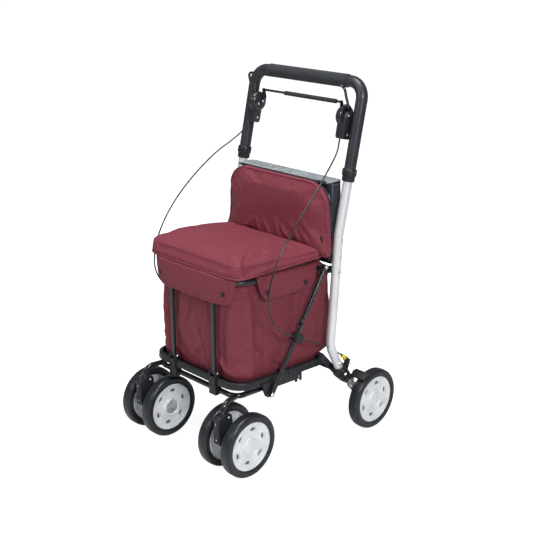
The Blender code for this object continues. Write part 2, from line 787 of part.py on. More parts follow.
def build_seat():
    def under(y):
        share = (y - SEAT_FRONT_Y) / (SEAT_REAR_Y - SEAT_FRONT_Y)
        return SEAT_UNDERSIDE_Z + share * (SEAT_UNDERSIDE_REAR_Z - SEAT_UNDERSIDE_Z)

    def top(y):
        share = (y - SEAT_FRONT_Y) / (SEAT_REAR_Y - SEAT_FRONT_Y)
        return SEAT_TOP_FRONT_Z + share * (SEAT_TOP_REAR_Z - SEAT_TOP_FRONT_Z)

    shape = (SEAT_HALF_WIDTH, SEAT_FRONT_Y, SEAT_REAR_Y, SEAT_CORNER, 0.014)
    levels = (
        (0.0125, lambda y: board_top(y) + GAP),
        (0.0120, lambda y: max(under(y), board_top(y)) + 0.0012),
        (0.003, lambda y: under(y) + 0.0003),
        (0.000, lambda y: under(y) + 0.0022),
        (0.003, lambda y: under(y) + 0.0060),
        (0.004, lambda y: 0.5 * under(y) + 0.5 * top(y)),
        (0.008, lambda y: top(y) - 0.0035),
        (0.018, lambda y: top(y) + 0.20 * SEAT_CROWN),
        (0.040, lambda y: top(y) + 0.55 * SEAT_CROWN),
        (0.070, lambda y: top(y) + 0.85 * SEAT_CROWN),
        (0.100, lambda y: top(y) + SEAT_CROWN),
    )
    loops = []
    for inset, height in levels:
        loops.append([(x, y, height(y)) for x, y in inset_rectangle(inset, *shape)])
    adopt(loft("seat_cushion", loops), "seat_lid", "burgundy")
    outline = rounded_rectangle(BOARD_HALF_WIDTH, SEAT_FRONT_Y + 0.0135, SEAT_REAR_Y - 0.0135, 0.020, 0.010, 3)
    bottom = [(x, y, ring_z(y) + BOARD_LIFT) for x, y in outline]
    surface = [(x, y, board_top(y)) for x, y in outline]
    adopt(loft("seat_board", [bottom, surface], False), "seat_lid", "black_plastic")


def build_ring():
    x, end = RING_X, RING_END_Y
    corners = [(x, end), (x, RING_BAR_Y), (-x, RING_BAR_Y), (-x, end)]
    ring = tube("seat_frame", rounded([(a, b, ring_z(b)) for a, b in corners], RING_CORNER), RING_RADIUS)
    for side, sign in SIDES:
        ear = link_outline((end - 0.006, ring_z(end - 0.006)), 0.0065, SEAT_PIN, 0.0075)
        fuse(ring, slab("ear", ear, *sorted((sign * 0.1395, sign * 0.1464))))
        cut(ring, rod("pin_bore", (sign * 0.135, *SEAT_PIN), (sign * 0.150, *SEAT_PIN), PIN_RADIUS + GAP, 10))
        tab = link_outline((RING_BAR_Y, ring_z(RING_BAR_Y)), 0.006, RING_FRONT, 0.0048)
        inner = sign * (STRUT_X + STRUT_WIDTH / 2 + 0.0008)
        fuse(
            ring,
            slab("tab", tab, *sorted((inner, inner + sign * 0.003))),
            rod("pin", (sign * (STRUT_X - 0.0062), *RING_FRONT), (inner + sign * 0.002, *RING_FRONT), 0.0024, 8),
        )
    adopt(ring, "seat_ring", "black_metal")


def floor_top(y):
    return rim_z(y) - FLOOR_DROP


def build_bag():
    def walls(inset, height, rear=BAG_REAR_Y, low_inset=0.0):
        shape = (BAG_HALF_WIDTH, BAG_FRONT_Y, rear, BAG_CORNER, 0.012, 3)
        return [(x, y, height(y)) for x, y in inset_rectangle(inset + low_inset, *shape)]

    def side(inset, rise):
        """The rear wall leaves the tray, bulges back over its rim and comes in again under the backrest."""
        return [
            walls(inset, lambda y: floor_top(y) + GAP + rise, BAG_REAR_Y, 0.007),
            walls(inset, lambda y: floor_top(y) + 0.008 + rise),
            walls(inset, lambda y: floor_top(y) + 0.014 + 0.4 * rise, BAG_REAR_Y + 0.0005),
            walls(inset, lambda y: floor_top(y) + 0.030 + 0.8 * rise, BAG_BULGE_Y),
            walls(inset, lambda y: ring_z(y) - 0.021 - 0.4 * rise, BAG_BULGE_Y),
            walls(inset, lambda y: ring_z(y) + 0.0090, BAG_REAR_TOP_Y),
        ]

    bag = loft("bag", side(0.0, 0.0) + side(BAG_WALL, BAG_WALL)[::-1])
    strip = [(y, ring_z(y) + lift) for y, lift in
             ((-0.124, 0.0073), (0.064, 0.0073), (0.064, 0.0095), (-0.124, 0.0095))]
    side_flap = rounded_flap((-0.124, 0.064), (-0.108, 0.056), FLAP_TOP_Z, FLAP_BOTTOM_Z, 0.022)
    for side, sign in SIDES:
        inner, outer = SIDE_FLAP_X, SIDE_FLAP_X + FLAP_THICKNESS
        fuse(
            bag,
            slab("strip", strip, *sorted((sign * 0.1290, sign * (outer - 0.0006)))),
            slab("side_flap", side_flap, *sorted((sign * inner, sign * outer))),
        )
    front_outline = rounded_flap((-0.128, 0.128), (-0.109, 0.109), 0.4515, 0.390, 0.020)
    loops = []
    for y in (FRONT_FLAP_Y, FRONT_FLAP_Y - FLAP_THICKNESS):
        loops.append([(x, y, z) for x, z in front_outline])
    bar_top = ring_z(RING_BAR_Y) + RING_RADIUS
    fuse(
        bag,
        loft("front_flap", loops, False),
        box("front_strip", (-0.104, FRONT_FLAP_Y - 0.0012, bar_top + GAP), (0.104, -0.1645, bar_top + 0.0020)),
    )
    adopt(bag, "seat_ring", "burgundy")


def rounded_flap(top, bottom, top_z, bottom_z, radius):
    """The outline of a hanging flap with two round lower corners."""
    corners = [(top[1], top_z), (top[0], top_z), (bottom[0], bottom_z), (bottom[1], bottom_z)]
    outline = corners[:2]
    for before, here, after in ((corners[1], corners[2], corners[3]), (corners[2], corners[3], corners[0])):
        outline += [(p.x, p.y) for p in rounded([(*before, 0), (*here, 0), (*after, 0)], radius, 4)[1:-1]]
    return outline


def build_pocket():
    shape = (POCKET_HALF_WIDTH, POCKET_FRONT_Y, POCKET_REAR_Y, 0.004, 0.014)
    low = POCKET_BOTTOM_Z + POCKET_WALL
    levels = (
        (0.005, POCKET_BOTTOM_Z), (0.0, POCKET_BOTTOM_Z + 0.006), (0.0, POCKET_TOP_Z - GAP),
        (POCKET_WALL, POCKET_TOP_Z - GAP), (POCKET_WALL, low + 0.006), (0.005 + POCKET_WALL, low),
    )
    loops = []
    for inset, z in levels:
        narrow = inset + (0.003 if z < 0.5 else 0.0)
        loops.append([(x, y, z) for x, y in inset_rectangle(narrow, *shape)])
    adopt(loft("rear_pocket", loops), None, "grey_fabric")
    outline = rounded_rectangle(POCKET_HALF_WIDTH + 0.0005, LID_FRONT_Y, POCKET_REAR_Y + 0.0006, 0.010, 0.014, 4)
    loops = []
    for z in (POCKET_TOP_Z + GAP, POCKET_TOP_Z + LID_THICKNESS):
        loops.append([(x, y, z) for x, y in outline])
    adopt(loft("pocket_lid", loops, False), "pocket_lid", "lid_fabric")


# Handle

def handle_line(x, z):
    return Vector((x, leg_y(z), z))


def build_handle():
    lean = Vector((0.0, math.sin(HANDLE_LEAN), math.cos(HANDLE_LEAN)))
    x = UPRIGHT_X
    path = [handle_line(x, HANDLE_BOTTOM_Z), handle_line(x, HANDLE_TOP_Z)]
    path += [handle_line(-x, HANDLE_TOP_Z), handle_line(-x, HANDLE_BOTTOM_Z)]
    handle = tube("handle_tube", rounded(path, HANDLE_CORNER, 5), HANDLE_RADIUS, 4)
    for side, sign in SIDES:
        start = handle_line(sign * x, HANDLE_BOTTOM_Z - 0.010)
        cut(handle, rod("bore", start, handle_line(sign * x, UPRIGHT_TOP_Z + 0.004), HANDLE_BORE, 16))
    adopt(handle, "handle", "black_metal")
    half = GRIP_HALF_LENGTH
    inner, outer = HANDLE_RADIUS + GAP, GRIP_RADIUS
    centre = handle_line(0.0, HANDLE_TOP_Z)
    profile = [(inner, -half), (outer - 0.0012, -half), (outer, -half + 0.0015), (outer, half - 0.0015),
               (outer - 0.0012, half), (inner, half)]
    adopt(lathe("hand_grip", centre, (1, 0, 0), profile, 18, True), "handle", "foam")
    for side, sign in SIDES:
        base = handle_line(sign * x, HANDLE_BOTTOM_Z) - lean * (COLLAR_SKIRT_HEIGHT + GAP)
        step, top = COLLAR_SKIRT_HEIGHT, COLLAR_SKIRT_HEIGHT + COLLAR_HEIGHT
        skirt, bulge = COLLAR_SKIRT_RADIUS, COLLAR_RADIUS
        profile = [
            (HANDLE_BORE, 0.0), (skirt, 0.0), (skirt, step), (bulge, step), (bulge, top - 0.0015),
            (bulge - 0.0012, top),
            (HANDLE_RADIUS + GAP, top), (HANDLE_RADIUS + GAP, step), (HANDLE_BORE, step),
        ]
        collar = lathe("height_collar_" + side, base, lean, profile, 16, True)
        middle = base + lean * (step + COLLAR_HEIGHT / 2)
        out = Vector((sign, 0.0, 0.0))
        cut(collar, rod("button_hole", middle + out * 0.0130, middle + out * 0.022, BUTTON_RADIUS + GAP, 12))
        adopt(collar, "handle", "black_plastic")
        start = HANDLE_RADIUS + GAP + BUTTON_TRAVEL
        profile = [(0, start), (BUTTON_RADIUS, start), (BUTTON_RADIUS, COLLAR_RADIUS + BUTTON_STANDS - 0.0007),
                   (BUTTON_RADIUS - 0.0007, COLLAR_RADIUS + BUTTON_STANDS), (0, COLLAR_RADIUS + BUTTON_STANDS)]
        adopt(lathe("height_button_" + side, middle, out, profile, 12), "button_" + side, "black_plastic")


def build_brake_controls():
    for side, sign in SIDES:
        face, block, back = sign * HOUSING_FACE_X, sign * HOUSING_BLOCK_X, sign * HOUSING_BACK_X
        radius = HOUSING_RADIUS
        profile = [
            (0, 0.0), (0.55 * radius, 0.0010), (0.88 * radius, 0.0042), (radius, 0.0090), (radius, 0.0205), (0, 0.0205),
        ]
        housing = lathe("brake_housing_" + side, (face, *HOUSING_CENTRE), (sign, 0, 0), profile, 18)
        outline = [
            (0.1390, 0.7130), (0.1625, 0.7075), (0.1765, 0.7640), (0.1730, 0.7700), (0.1590, 0.7720), (0.1500, 0.7640),
        ]
        lug = link_outline((0.1630, 0.7650), 0.015, BAIL_PIVOT, 0.0065)
        fuse(
            housing,
            slab("block", outline, *sorted((block, back))),
            slab("lug", lug, *sorted((sign * 0.1410, sign * 0.1485))),
        )
        cut(
            housing,
            rod("bail_bore", (sign * 0.1430, *BAIL_PIVOT), (sign * 0.1520, *BAIL_PIVOT), 0.0027, 10),
            rod("parking_bore", (sign * 0.1240, *PARKING_PIVOT), (sign * 0.1400, *PARKING_PIVOT), 0.0033, 10),
            cable_clearance(sign, 0, 7),
        )
        adopt(housing, "handle", "black_plastic")
    x = BAIL_X
    path = [(x, *BAIL_PIVOT), (x, *BAIL_ELBOW), (x, *BAIL_BAR), (-x, *BAIL_BAR), (-x, *BAIL_ELBOW), (-x, *BAIL_PIVOT)]
    path = [Vector(p) for p in path]
    turned = rounded(path[1:-1], BAIL_CORNER, 3)
    bail = tube("brake_bail", [path[0]] + turned + [path[-1]], BAIL_RADIUS, 2)
    for side, sign in SIDES:
        fuse(
            bail,
            rod("eye", (sign * 0.1505, *BAIL_PIVOT), (sign * 0.1565, *BAIL_PIVOT), 0.0050, 12),
            rod("pin", (sign * 0.1440, *BAIL_PIVOT), (sign * 0.1540, *BAIL_PIVOT), 0.0024, 8),
        )
    adopt(bail, "brake_bail", "black_metal")
    half = PARKING_HALF
    bar = rod("parking_bar", (-half, *PARKING_BAR), (half, *PARKING_BAR), PARKING_RADIUS, 10)
    crank = link_outline(PARKING_PIVOT, 0.0060, PARKING_BAR, 0.0042)
    for side, sign in SIDES:
        fuse(
            bar,
            slab("crank", crank, *sorted((sign * (half - 0.0003), sign * (half + 0.0028)))),
            rod("hub", (sign * (half + 0.0010), *PARKING_PIVOT), (sign * 0.1370, *PARKING_PIVOT), 0.0030, 8),
        )
    adopt(bar, "parking_bar", "black_metal")
    low, high = PARKING_SLEEVE_X
    bore, skin = PARKING_RADIUS + GAP, PARKING_SLEEVE
    profile = [(bore, low), (skin - 0.0008, low), (skin, low + 0.001), (skin, high - 0.001), (skin - 0.0008, high),
               (bore, high)]
    adopt(lathe("parking_sleeve", (0.0, *PARKING_BAR), (1, 0, 0), profile, 12, True), "parking_bar", "foam")


# Base

def build_tray():
    section = [
        (-0.0045, -0.0095), (0.0045, -0.0095), (0.0045, 0.0070), (0.0025, 0.0095), (-0.0045, 0.0095),
    ]
    outline = rounded_rectangle(RIM_X, RIM_FRONT[0], RIM_REAR_Y, RIM_CORNER, 0.018, 4)
    path = [Vector((x, y, rim_z(y))) for x, y in outline]
    rim = sweep("tray_rim", path, section, closed=True)
    ear = link_outline((BASE_PIN[0] + 0.002, rim_z(BASE_PIN[0])), 0.0080, BASE_PIN, 0.0075)
    band = [
        (-0.080, 0.1880), (-0.080, 0.1690), (-0.005, 0.1640), (-0.005, 0.1575), (0.016, 0.1565), (0.016, 0.1830),
    ]
    foot = [
        (STAY_FOOT[0] - 0.024, 0.1930), (STAY_FOOT[0] - 0.008, 0.1545), (STAY_FOOT[0] + 0.009, 0.1535),
        (STAY_FOOT[0] + 0.020, 0.1900),
    ]
    pin_x = STRUT_X
    for side, sign in SIDES:
        fuse(
            rim,
            slab("ear", ear, *sorted((sign * 0.1445, sign * 0.1525))),
            slab("band", band, *sorted((sign * 0.1465, sign * 0.1498))),
            slab("foot", foot, *sorted((sign * 0.1470, sign * 0.1548))),
            box("pad", *sorted_corners((sign * 0.1280, -0.104, base_z(-0.100) + BASE_RADIUS + 0.0008),
                                       (sign * 0.1440, -0.090, 0.1873))),
        )
        inner, outer = sign * (pin_x - CLEVIS_HALF), sign * (pin_x + CLEVIS_HALF)
        front, back = CLEVIS_PIN[0] - 0.0080, CLEVIS_PIN[0] + 0.0045
        fuse(
            rim,
            box("clevis_block", *sorted_corners((inner, front, 0.1665), (outer, -0.1760, 0.1930))),
            box("clevis_front", *sorted_corners((inner, front, 0.1940), (outer, front + 0.0040, 0.2115))),
        )
        for cheek in (inner, outer - sign * CLEVIS_PLATE):
            ends = sorted((cheek, cheek + sign * CLEVIS_PLATE))
            outline = [(front, 0.1940), (back, 0.1940), (back, 0.2200), (-0.1840, 0.2240), (-0.1900, 0.2240),
                       (front, 0.2190)]
            fuse(rim, slab("cheek", outline, *ends))
        fuse(rim, rod("pin", (sign * (pin_x - 0.0175), *CLEVIS_PIN), (sign * (pin_x + 0.0175), *CLEVIS_PIN), 0.0024, 8))
        cut(
            rim,
            rod("tube_bore", (sign * 0.050, *BASE_FRONT), (sign * 0.090, *BASE_FRONT), BASE_RADIUS + 0.0006, 12),
            rod("pin_bore", (sign * 0.1400, *BASE_PIN), (sign * 0.1550, *BASE_PIN), PIN_RADIUS + GAP, 10),
            rod("hook_hole", (sign * 0.140, 0.006, 0.1670), (sign * 0.155, 0.006, 0.1670), 0.0032, 8),
        )
    adopt(rim, "base", "black_plastic")
    inset = RIM_WIDTH / 2 + GAP
    outline = inset_rectangle(inset, RIM_X, RIM_FRONT[0], RIM_REAR_Y, RIM_CORNER, 0.018, 4)
    bottom = [(x, y, floor_top(y) - FLOOR_THICKNESS) for x, y in outline]
    surface = [(x, y, floor_top(y)) for x, y in outline]
    tray = loft("tray_floor", [bottom, surface], False)
    slots = []
    for number in range(SLOTS):
        y = 0.068 - number * SLOT_PITCH
        for side, sign in SIDES:
            reach = sorted((sign * (0.1395 - SLOT_LENGTH), sign * 0.1395))
            slots.append(((reach[0], y - SLOT_WIDTH / 2, 0.150), (reach[1], y + SLOT_WIDTH / 2, 0.240)))
    adopt(cut(tray, boxes("slots", slots)), "base", "black_plastic")


def sorted_corners(first, last):
    pairs = [sorted(pair) for pair in zip(first, last)]
    return tuple(low for low, high in pairs), tuple(high for low, high in pairs)


def build_base_tube():
    x, front = BASE_X, BASE_FRONT[0]
    corners = [(x, BASE_REAR_Y), (x, front), (-x, front), (-x, BASE_REAR_Y)]
    path = rounded([(a, b, base_z(b)) for a, b in corners], BASE_CORNER)
    base = tube("base_tube", path, BASE_RADIUS)
    for side, sign in SIDES:
        axis = (sign * CASTER_X, STEM_Y)
        neck = [(sign * (BASE_X - 0.004), front + 0.006, base_z(front)), (*axis, base_z(front) - 0.001), (*axis, 0.1290)]
        fuse(base, tube("neck", rounded(neck, 0.020), STEM_RADIUS))
    adopt(base, "base", "black_metal")


def bar_outline(first, first_radius, last, last_radius, half, steps=4):
    """The outline of a straight bar with a wider round eye at each end."""
    first, last = Vector(first), Vector(last)
    along = (last - first).normalized()
    start = math.atan2(along.y, along.x)
    points = []
    for centre, radius, turn in ((last, last_radius, 0.0), (first, first_radius, math.pi)):
        reach = math.pi - math.asin(half / radius)
        for step in range(steps + 1):
            angle = start + turn - reach + 2 * reach * step / steps
            points.append((centre.x + radius * math.cos(angle), centre.y + radius * math.sin(angle)))
    return points


def build_struts():
    for side, sign in SIDES:
        outline = bar_outline(CLEVIS_PIN, 0.0050, RING_FRONT, 0.0046, STRUT_DEPTH / 2)
        ends = sorted((sign * (STRUT_X - STRUT_WIDTH / 2), sign * (STRUT_X + STRUT_WIDTH / 2)))
        strut = slab("front_strut_" + side, outline, *ends)
        cut(
            strut,
            rod("low_bore", (sign * 0.060, *CLEVIS_PIN), (sign * 0.080, *CLEVIS_PIN), 0.0024 + GAP, 8),
            rod("high_bore", (sign * 0.060, *RING_FRONT), (sign * 0.080, *RING_FRONT), 0.0024 + GAP, 8),
        )
        adopt(strut, "struts", "black_metal")


def build_stays():
    pin, knee, foot = Vector(STAY_PIN), Vector(STAY_KNEE), Vector(STAY_FOOT)
    along = (foot - pin).normalized()
    for side, sign in SIDES:
        def spot(centre, distance):
            place = centre + along * distance
            return (sign * STAY_X, place.x, place.y)

        def plate(name, first, last, radius, x):
            return slab(name, link_outline(first, radius, last, radius), *sorted((sign * x[0], sign * x[1])))

        upper = rod("stay_upper_" + side, spot(pin, 0.012), spot(knee, -0.0125), STAY_RADIUS, 12)
        fuse(
            upper,
            plate("top_eye", pin, pin + along * 0.016, 0.0060, (0.1580, 0.1645)),
            plate("knee_eye", knee, knee - along * 0.014, 0.0048, (0.1572, 0.1604)),
            rod("knee_pin", (sign * 0.1590, *knee), (sign * 0.1665, *knee), 0.0024, 8),
        )
        cut(upper, rod("pin_bore", (sign * 0.1560, *pin), (sign * 0.1680, *pin), PIN_RADIUS + GAP, 10))
        adopt(upper, "stay_upper", "black_metal")
        lower = rod("stay_lower_" + side, spot(knee, 0.0125), spot(foot, -0.010), STAY_RADIUS, 12)
        fuse(
            lower,
            plate("knee_eye", knee, knee + along * 0.014, 0.0048, (0.1626, 0.1658)),
            plate("foot_eye", foot, foot - along * 0.014, 0.0055, (0.1580, 0.1640)),
            rod("foot_bolt", (sign * 0.1552, *foot), (sign * 0.1675, *foot), 0.0042, 10),
        )
        cut(lower, rod("knee_bore", (sign * 0.1600, *knee), (sign * 0.1680, *knee), 0.0024 + GAP, 8))
        adopt(lower, "stay_lower", "black_metal")
        centre = knee + along * CLIP_FROM_KNEE
        across = Vector((-along.y, along.x))
        half, waist = CLIP_LENGTH / 2, 0.0085
        outline = []
        for a, b in (
            (-half, -waist - 0.003), (-0.35 * half, -waist), (0.35 * half, -waist), (half, -waist - 0.003),
            (half, waist + 0.003), (0.35 * half, waist), (-0.35 * half, waist), (-half, waist + 0.003),
        ):
            place = centre + along * b + across * a
            outline.append((place.x, place.y))
        clip = slab("stay_clip_" + side, outline, *sorted((sign * 0.1553, sign * 0.1757)))
        cut(
            clip,
            rod("stay_bore", spot(centre, -0.030), spot(centre, 0.030), STAY_RADIUS + GAP, 12),
            cable_channel(side),
        )
        adopt(clip, "stay_lower", "black_plastic")


# Casters and wheels

def build_casters():
    for side, sign in SIDES:
        x = sign * CASTER_X
        nose = STEM_Y - FORK_NOSE
        outline = [
            (nose + 0.004, FORK_TOP), (nose, FORK_TOP - 0.005), (nose, FORK_NOSE_BOTTOM + 0.003),
            (nose + 0.003, FORK_NOSE_BOTTOM), (FRONT_AXLE[0] - 0.004, 0.0645), (FRONT_AXLE[0] + 0.006, 0.0665),
            (FRONT_AXLE[0] + 0.011, 0.0740), (FRONT_AXLE[0] + 0.009, 0.0820), (-0.2030, 0.1140),
            (-0.2060, FORK_TOP - 0.004), (-0.2090, FORK_TOP),
        ]
        fork = slab("caster_fork_" + side, outline, x - FORK_WIDTH / 2, x + FORK_WIDTH / 2)
        fuse(fork, rod("axle", (x - 0.0465, *FRONT_AXLE), (x + 0.0465, *FRONT_AXLE), AXLE_RADIUS, 12))
        cut(fork, rod("stem_bore", (x, STEM_Y, 0.1280), (x, STEM_Y, 0.1700), STEM_RADIUS + 0.0004, 12))
        adopt(fork, "caster_" + side, "black_plastic")


def build_wheel(name, body, x, outward, axle, inner_reach):
    """A wheel at x, its decorated face toward outward, with a hub reaching inward along its axle."""
    radius, half = WHEEL_RADIUS, TYRE_WIDTH / 2
    rim = radius - TYRE_WALL
    centre = (x, *axle)
    profile = [
        (rim, -half + 0.0015), (radius - 0.0070, -half), (radius - 0.0018, -half + 0.0045), (radius, -half + 0.0100),
        (radius, half - 0.0100), (radius - 0.0018, half - 0.0045), (radius - 0.0070, half), (rim, half - 0.0015),
    ]
    adopt(lathe("tyre_" + name, centre, (outward, 0, 0), profile, 24, True), body, "tyre")
    edge = rim - GAP
    bore = AXLE_RADIUS + GAP
    face = half - 0.0055
    profile = [
        (0, half - 0.0010), (HUB_RADIUS, half - 0.0016), (HUB_RADIUS, face), (edge - 0.006, face + 0.0010),
        (edge, half - 0.0030), (edge, -half + 0.0034), (edge - 0.007, -half + 0.0080),
        (0.0190, -half + 0.0080), (0.0140, -inner_reach), (bore, -inner_reach), (bore, half - 0.0045), (0, half - 0.0045),
    ]
    disc = lathe("disc_" + name, centre, (outward, 0, 0), profile, 24)
    hollows = []
    for number in range(DISC_HOLES):
        angle = 2 * math.pi * number / DISC_HOLES + 0.3
        up, across = Vector((0, math.cos(angle), math.sin(angle))), Vector((0, -math.sin(angle), math.cos(angle)))
        for depth in (face - DISC_HOLE_DEPTH, half + 0.002):
            loop = []
            for step in range(6):
                turn = 2 * math.pi * (step + 0.5) / 6
                place = up * (DISC_HOLE_RING + math.cos(turn) * DISC_HOLE_WIDTH / 2)
                place += across * math.sin(turn) * DISC_HOLE_LENGTH / 2
                loop.append(Vector(centre) + place + Vector((outward * depth, 0, 0)))
            hollows.append(loop)
    cut(disc, prisms("hollows", hollows))
    adopt(disc, body, "disc")


def prisms(name, loops):
    """Separate prisms in one mesh, each through a pair of loops, for use as a cutter."""
    bm = bmesh.new()
    for low, high in zip(loops[::2], loops[1::2]):
        first, second = [bm.verts.new(p) for p in low], [bm.verts.new(p) for p in high]
        for here in range(len(first)):
            after = (here + 1) % len(first)
            bm.faces.new((first[here], first[after], second[after], second[here]))
        bm.faces.new(list(reversed(first)))
        bm.faces.new(second)
    return mesh_piece(name, bm, smooth=False)


def build_wheels():
    for side, sign in SIDES:
        build_wheel("rear_" + side, "rear_wheel_" + side, sign * REAR_WHEEL_X, sign, REAR_AXLE, 0.0195)
        for place, offset in (("outer", 1.0), ("inner", -1.0)):
            name = f"front_{side}_{place}"
            x = sign * (CASTER_X + offset * CASTER_WHEEL_OFFSET)
            build_wheel(name, f"front_wheel_{side}_{place}", x, sign * offset, FRONT_AXLE, 0.0270)


def build_brake_arms():
    inner, outer = WHEEL_RADIUS + SHOE_GAP, WHEEL_RADIUS + SHOE_GAP + SHOE_THICKNESS
    shoe = []
    for radius, angles in ((inner, range(-8, 9, 4)), (outer, range(8, -9, -4))):
        for degrees in angles:
            angle = SHOE_ANGLE + math.radians(degrees)
            shoe.append((REAR_AXLE[0] - radius * math.sin(angle), REAR_AXLE[1] + radius * math.cos(angle)))
    middle = (inner + outer) / 2
    tip = (REAR_AXLE[0] - middle * math.sin(SHOE_ANGLE), REAR_AXLE[1] + middle * math.cos(SHOE_ANGLE))
    for side, sign in SIDES:
        arm = slab("brake_arm_" + side, link_outline(SHOE_PIVOT, 0.0070, tip, 0.0055),
                   *sorted((sign * 0.1955, sign * 0.1995)))
        fuse(arm, slab("shoe", shoe, *sorted((sign * 0.1960, sign * 0.2370))))
        cut(arm, rod("pivot_bore", (sign * 0.1940, *SHOE_PIVOT), (sign * 0.2015, *SHOE_PIVOT), PIN_RADIUS + GAP, 10))
        adopt(arm, "brake_arm_" + side, "black_metal")


define_joints()
build_uprights()
build_rear_brackets()
build_cross_bar()
build_rear_axles()
build_seat_hinges()
build_back_frame()
build_back_cushion()
build_pocket()
build_cables()
build_handle()
build_brake_controls()
build_ring()
build_bag()
build_seat()
build_tray()
build_base_tube()
build_struts()
build_stays()
build_casters()
build_wheels()
build_brake_arms()
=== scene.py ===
"""Looks of a folding shopping rollator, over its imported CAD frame. Metres, +Z up, front towards -Y."""

import json
import math

import bmesh
import bpy
import numpy as np
from mathutils import Matrix, Vector, noise
from mathutils.bvhtree import BVHTree


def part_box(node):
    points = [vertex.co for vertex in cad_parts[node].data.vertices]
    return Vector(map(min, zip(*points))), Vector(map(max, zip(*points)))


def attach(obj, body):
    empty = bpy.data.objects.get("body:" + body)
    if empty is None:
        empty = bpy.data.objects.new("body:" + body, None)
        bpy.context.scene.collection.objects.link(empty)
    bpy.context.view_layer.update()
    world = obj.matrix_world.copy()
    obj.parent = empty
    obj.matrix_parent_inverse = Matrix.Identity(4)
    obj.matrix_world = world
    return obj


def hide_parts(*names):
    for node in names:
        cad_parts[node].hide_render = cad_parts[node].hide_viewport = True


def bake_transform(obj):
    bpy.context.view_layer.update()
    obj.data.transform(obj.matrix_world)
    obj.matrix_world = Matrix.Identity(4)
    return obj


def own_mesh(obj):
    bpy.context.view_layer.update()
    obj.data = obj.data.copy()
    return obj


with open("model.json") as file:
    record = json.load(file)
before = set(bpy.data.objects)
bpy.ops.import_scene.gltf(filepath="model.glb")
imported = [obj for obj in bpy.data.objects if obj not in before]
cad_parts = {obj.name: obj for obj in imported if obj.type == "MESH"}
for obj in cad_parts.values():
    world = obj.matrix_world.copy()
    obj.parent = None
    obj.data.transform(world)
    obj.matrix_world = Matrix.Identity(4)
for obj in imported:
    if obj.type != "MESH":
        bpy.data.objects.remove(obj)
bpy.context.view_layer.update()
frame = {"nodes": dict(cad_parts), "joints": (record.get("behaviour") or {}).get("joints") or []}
JOINTS = {joint["name"]: joint for joint in frame["joints"]}

bl_info = {
    "name": "Shopping Rollator",
    "version": (1, 0, 0),
    "blender": (4, 5, 0),
    "location": "View3D > Sidebar > Rollator",
    "description": "Builds the cloth, tubes, wheels and fittings of a folding shopping rollator",
    "category": "Add Mesh",
}

SIDES = (("left", 1.0), ("right", -1.0))
WHEELS = [("rear_" + side, "rear_wheel_" + side) for side, sign in SIDES]
WHEELS += [
    (f"front_{side}_{place}", f"front_wheel_{side}_{place}") for side,
    sign in SIDES for place in ("outer", "inner")
]


# Frame lines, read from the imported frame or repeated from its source

def pivot(name):
    """A joint's place as a vector."""
    return Vector(JOINTS[name]["pos_m"])


def middle(node):
    low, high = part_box(node)
    return (low + high) / 2


UPRIGHT_X = 0.172
UPRIGHT_RADIUS = 0.011
LEG_BEND = (0.09, 0.2249)
WAIST_Z = 0.4953
LEG_LEAN = math.radians(5.0)
HANDLE_LEAN = math.radians(13.2)
FOOT_RAKE = math.radians(26.6)
FOOT_END_Z = 0.1468
RIVET_HEIGHTS = (0.446, 0.486)
UPRIGHT_TOP_Z = 0.78
HANDLE_RADIUS = 0.0135
HANDLE_TOP_Z = 0.834
HANDLE_BOTTOM_Z = 0.63
RING_LINE = (0.081, 0.424)
RING_SLOPE = 0.0752
RING_X = 0.1395
RING_BAR_Y = -0.181
RING_RADIUS = 0.007
RING_PIN = (-0.185, 0.433)
TRAY_SLOPE = 0.065
RIM_FRONT = (-0.187, 0.2)
RIM_REAR_Y = 0.094
RIM_X = 0.146
BASE_FRONT = (-0.182, 0.178)
BASE_REAR_Y = -0.085
BASE_X = 0.134
STRUT_X = 0.07
STAY_X = 0.1615
STAY_FOOT = (-0.096, 0.162)
CASTER_X = 0.138
STEM_Y = -0.2248


def leg_y(z):
    """Y of an upright's centre line at a height."""
    waist_y = LEG_BEND[0] + math.tan(LEG_LEAN) * (WAIST_Z - LEG_BEND[1])
    if z > WAIST_Z:
        return waist_y + math.tan(HANDLE_LEAN) * (z - WAIST_Z)
    if z > LEG_BEND[1]:
        return LEG_BEND[0] + math.tan(LEG_LEAN) * (z - LEG_BEND[1])
    return LEG_BEND[0] + math.tan(FOOT_RAKE) * (LEG_BEND[1] - z)


def ring_z(y):
    return RING_LINE[1] - RING_SLOPE * (y - RING_LINE[0])


def rim_z(y):
    return RIM_FRONT[1] - TRAY_SLOPE * (y - RIM_FRONT[0])


def base_z(y):
    return BASE_FRONT[1] - TRAY_SLOPE * (y - BASE_FRONT[0])


# Settings that a user would change

class RollatorColours(bpy.types.PropertyGroup):
    cloth: bpy.props.FloatVectorProperty(
        name="Cloth", description="Colour of the seat, backrest and bag", subtype="COLOR", size=3, min=0,
        max=1, default=(0.152, 0.017, 0.031))
    gusset: bpy.props.FloatVectorProperty(
        name="Pocket gusset", description="Colour of the rear pocket's cloth", subtype="COLOR", size=3, min=0,
        max=1, default=(0.026, 0.033, 0.044))
    lid: bpy.props.FloatVectorProperty(
        name="Pocket lid", description="Colour of the pocket's coated lid", subtype="COLOR", size=3, min=0,
        max=1, default=(0.4, 0.43, 0.46))
    black: bpy.props.FloatVectorProperty(
        name="Black parts", description="Colour of the painted tubes and mouldings", subtype="COLOR", size=3,
        min=0, max=1, default=(0.014, 0.016, 0.021))
    disc: bpy.props.FloatVectorProperty(
        name="Wheel discs", description="Colour of the silver wheel discs", subtype="COLOR", size=3, min=0,
        max=1, default=(0.84, 0.86, 0.89))
    adjuster: bpy.props.FloatVectorProperty(
        name="Cable adjusters", description="Colour of the cable adjusters", subtype="COLOR", size=3, min=0,
        max=1, default=(0.93, 0.66, 0.03))


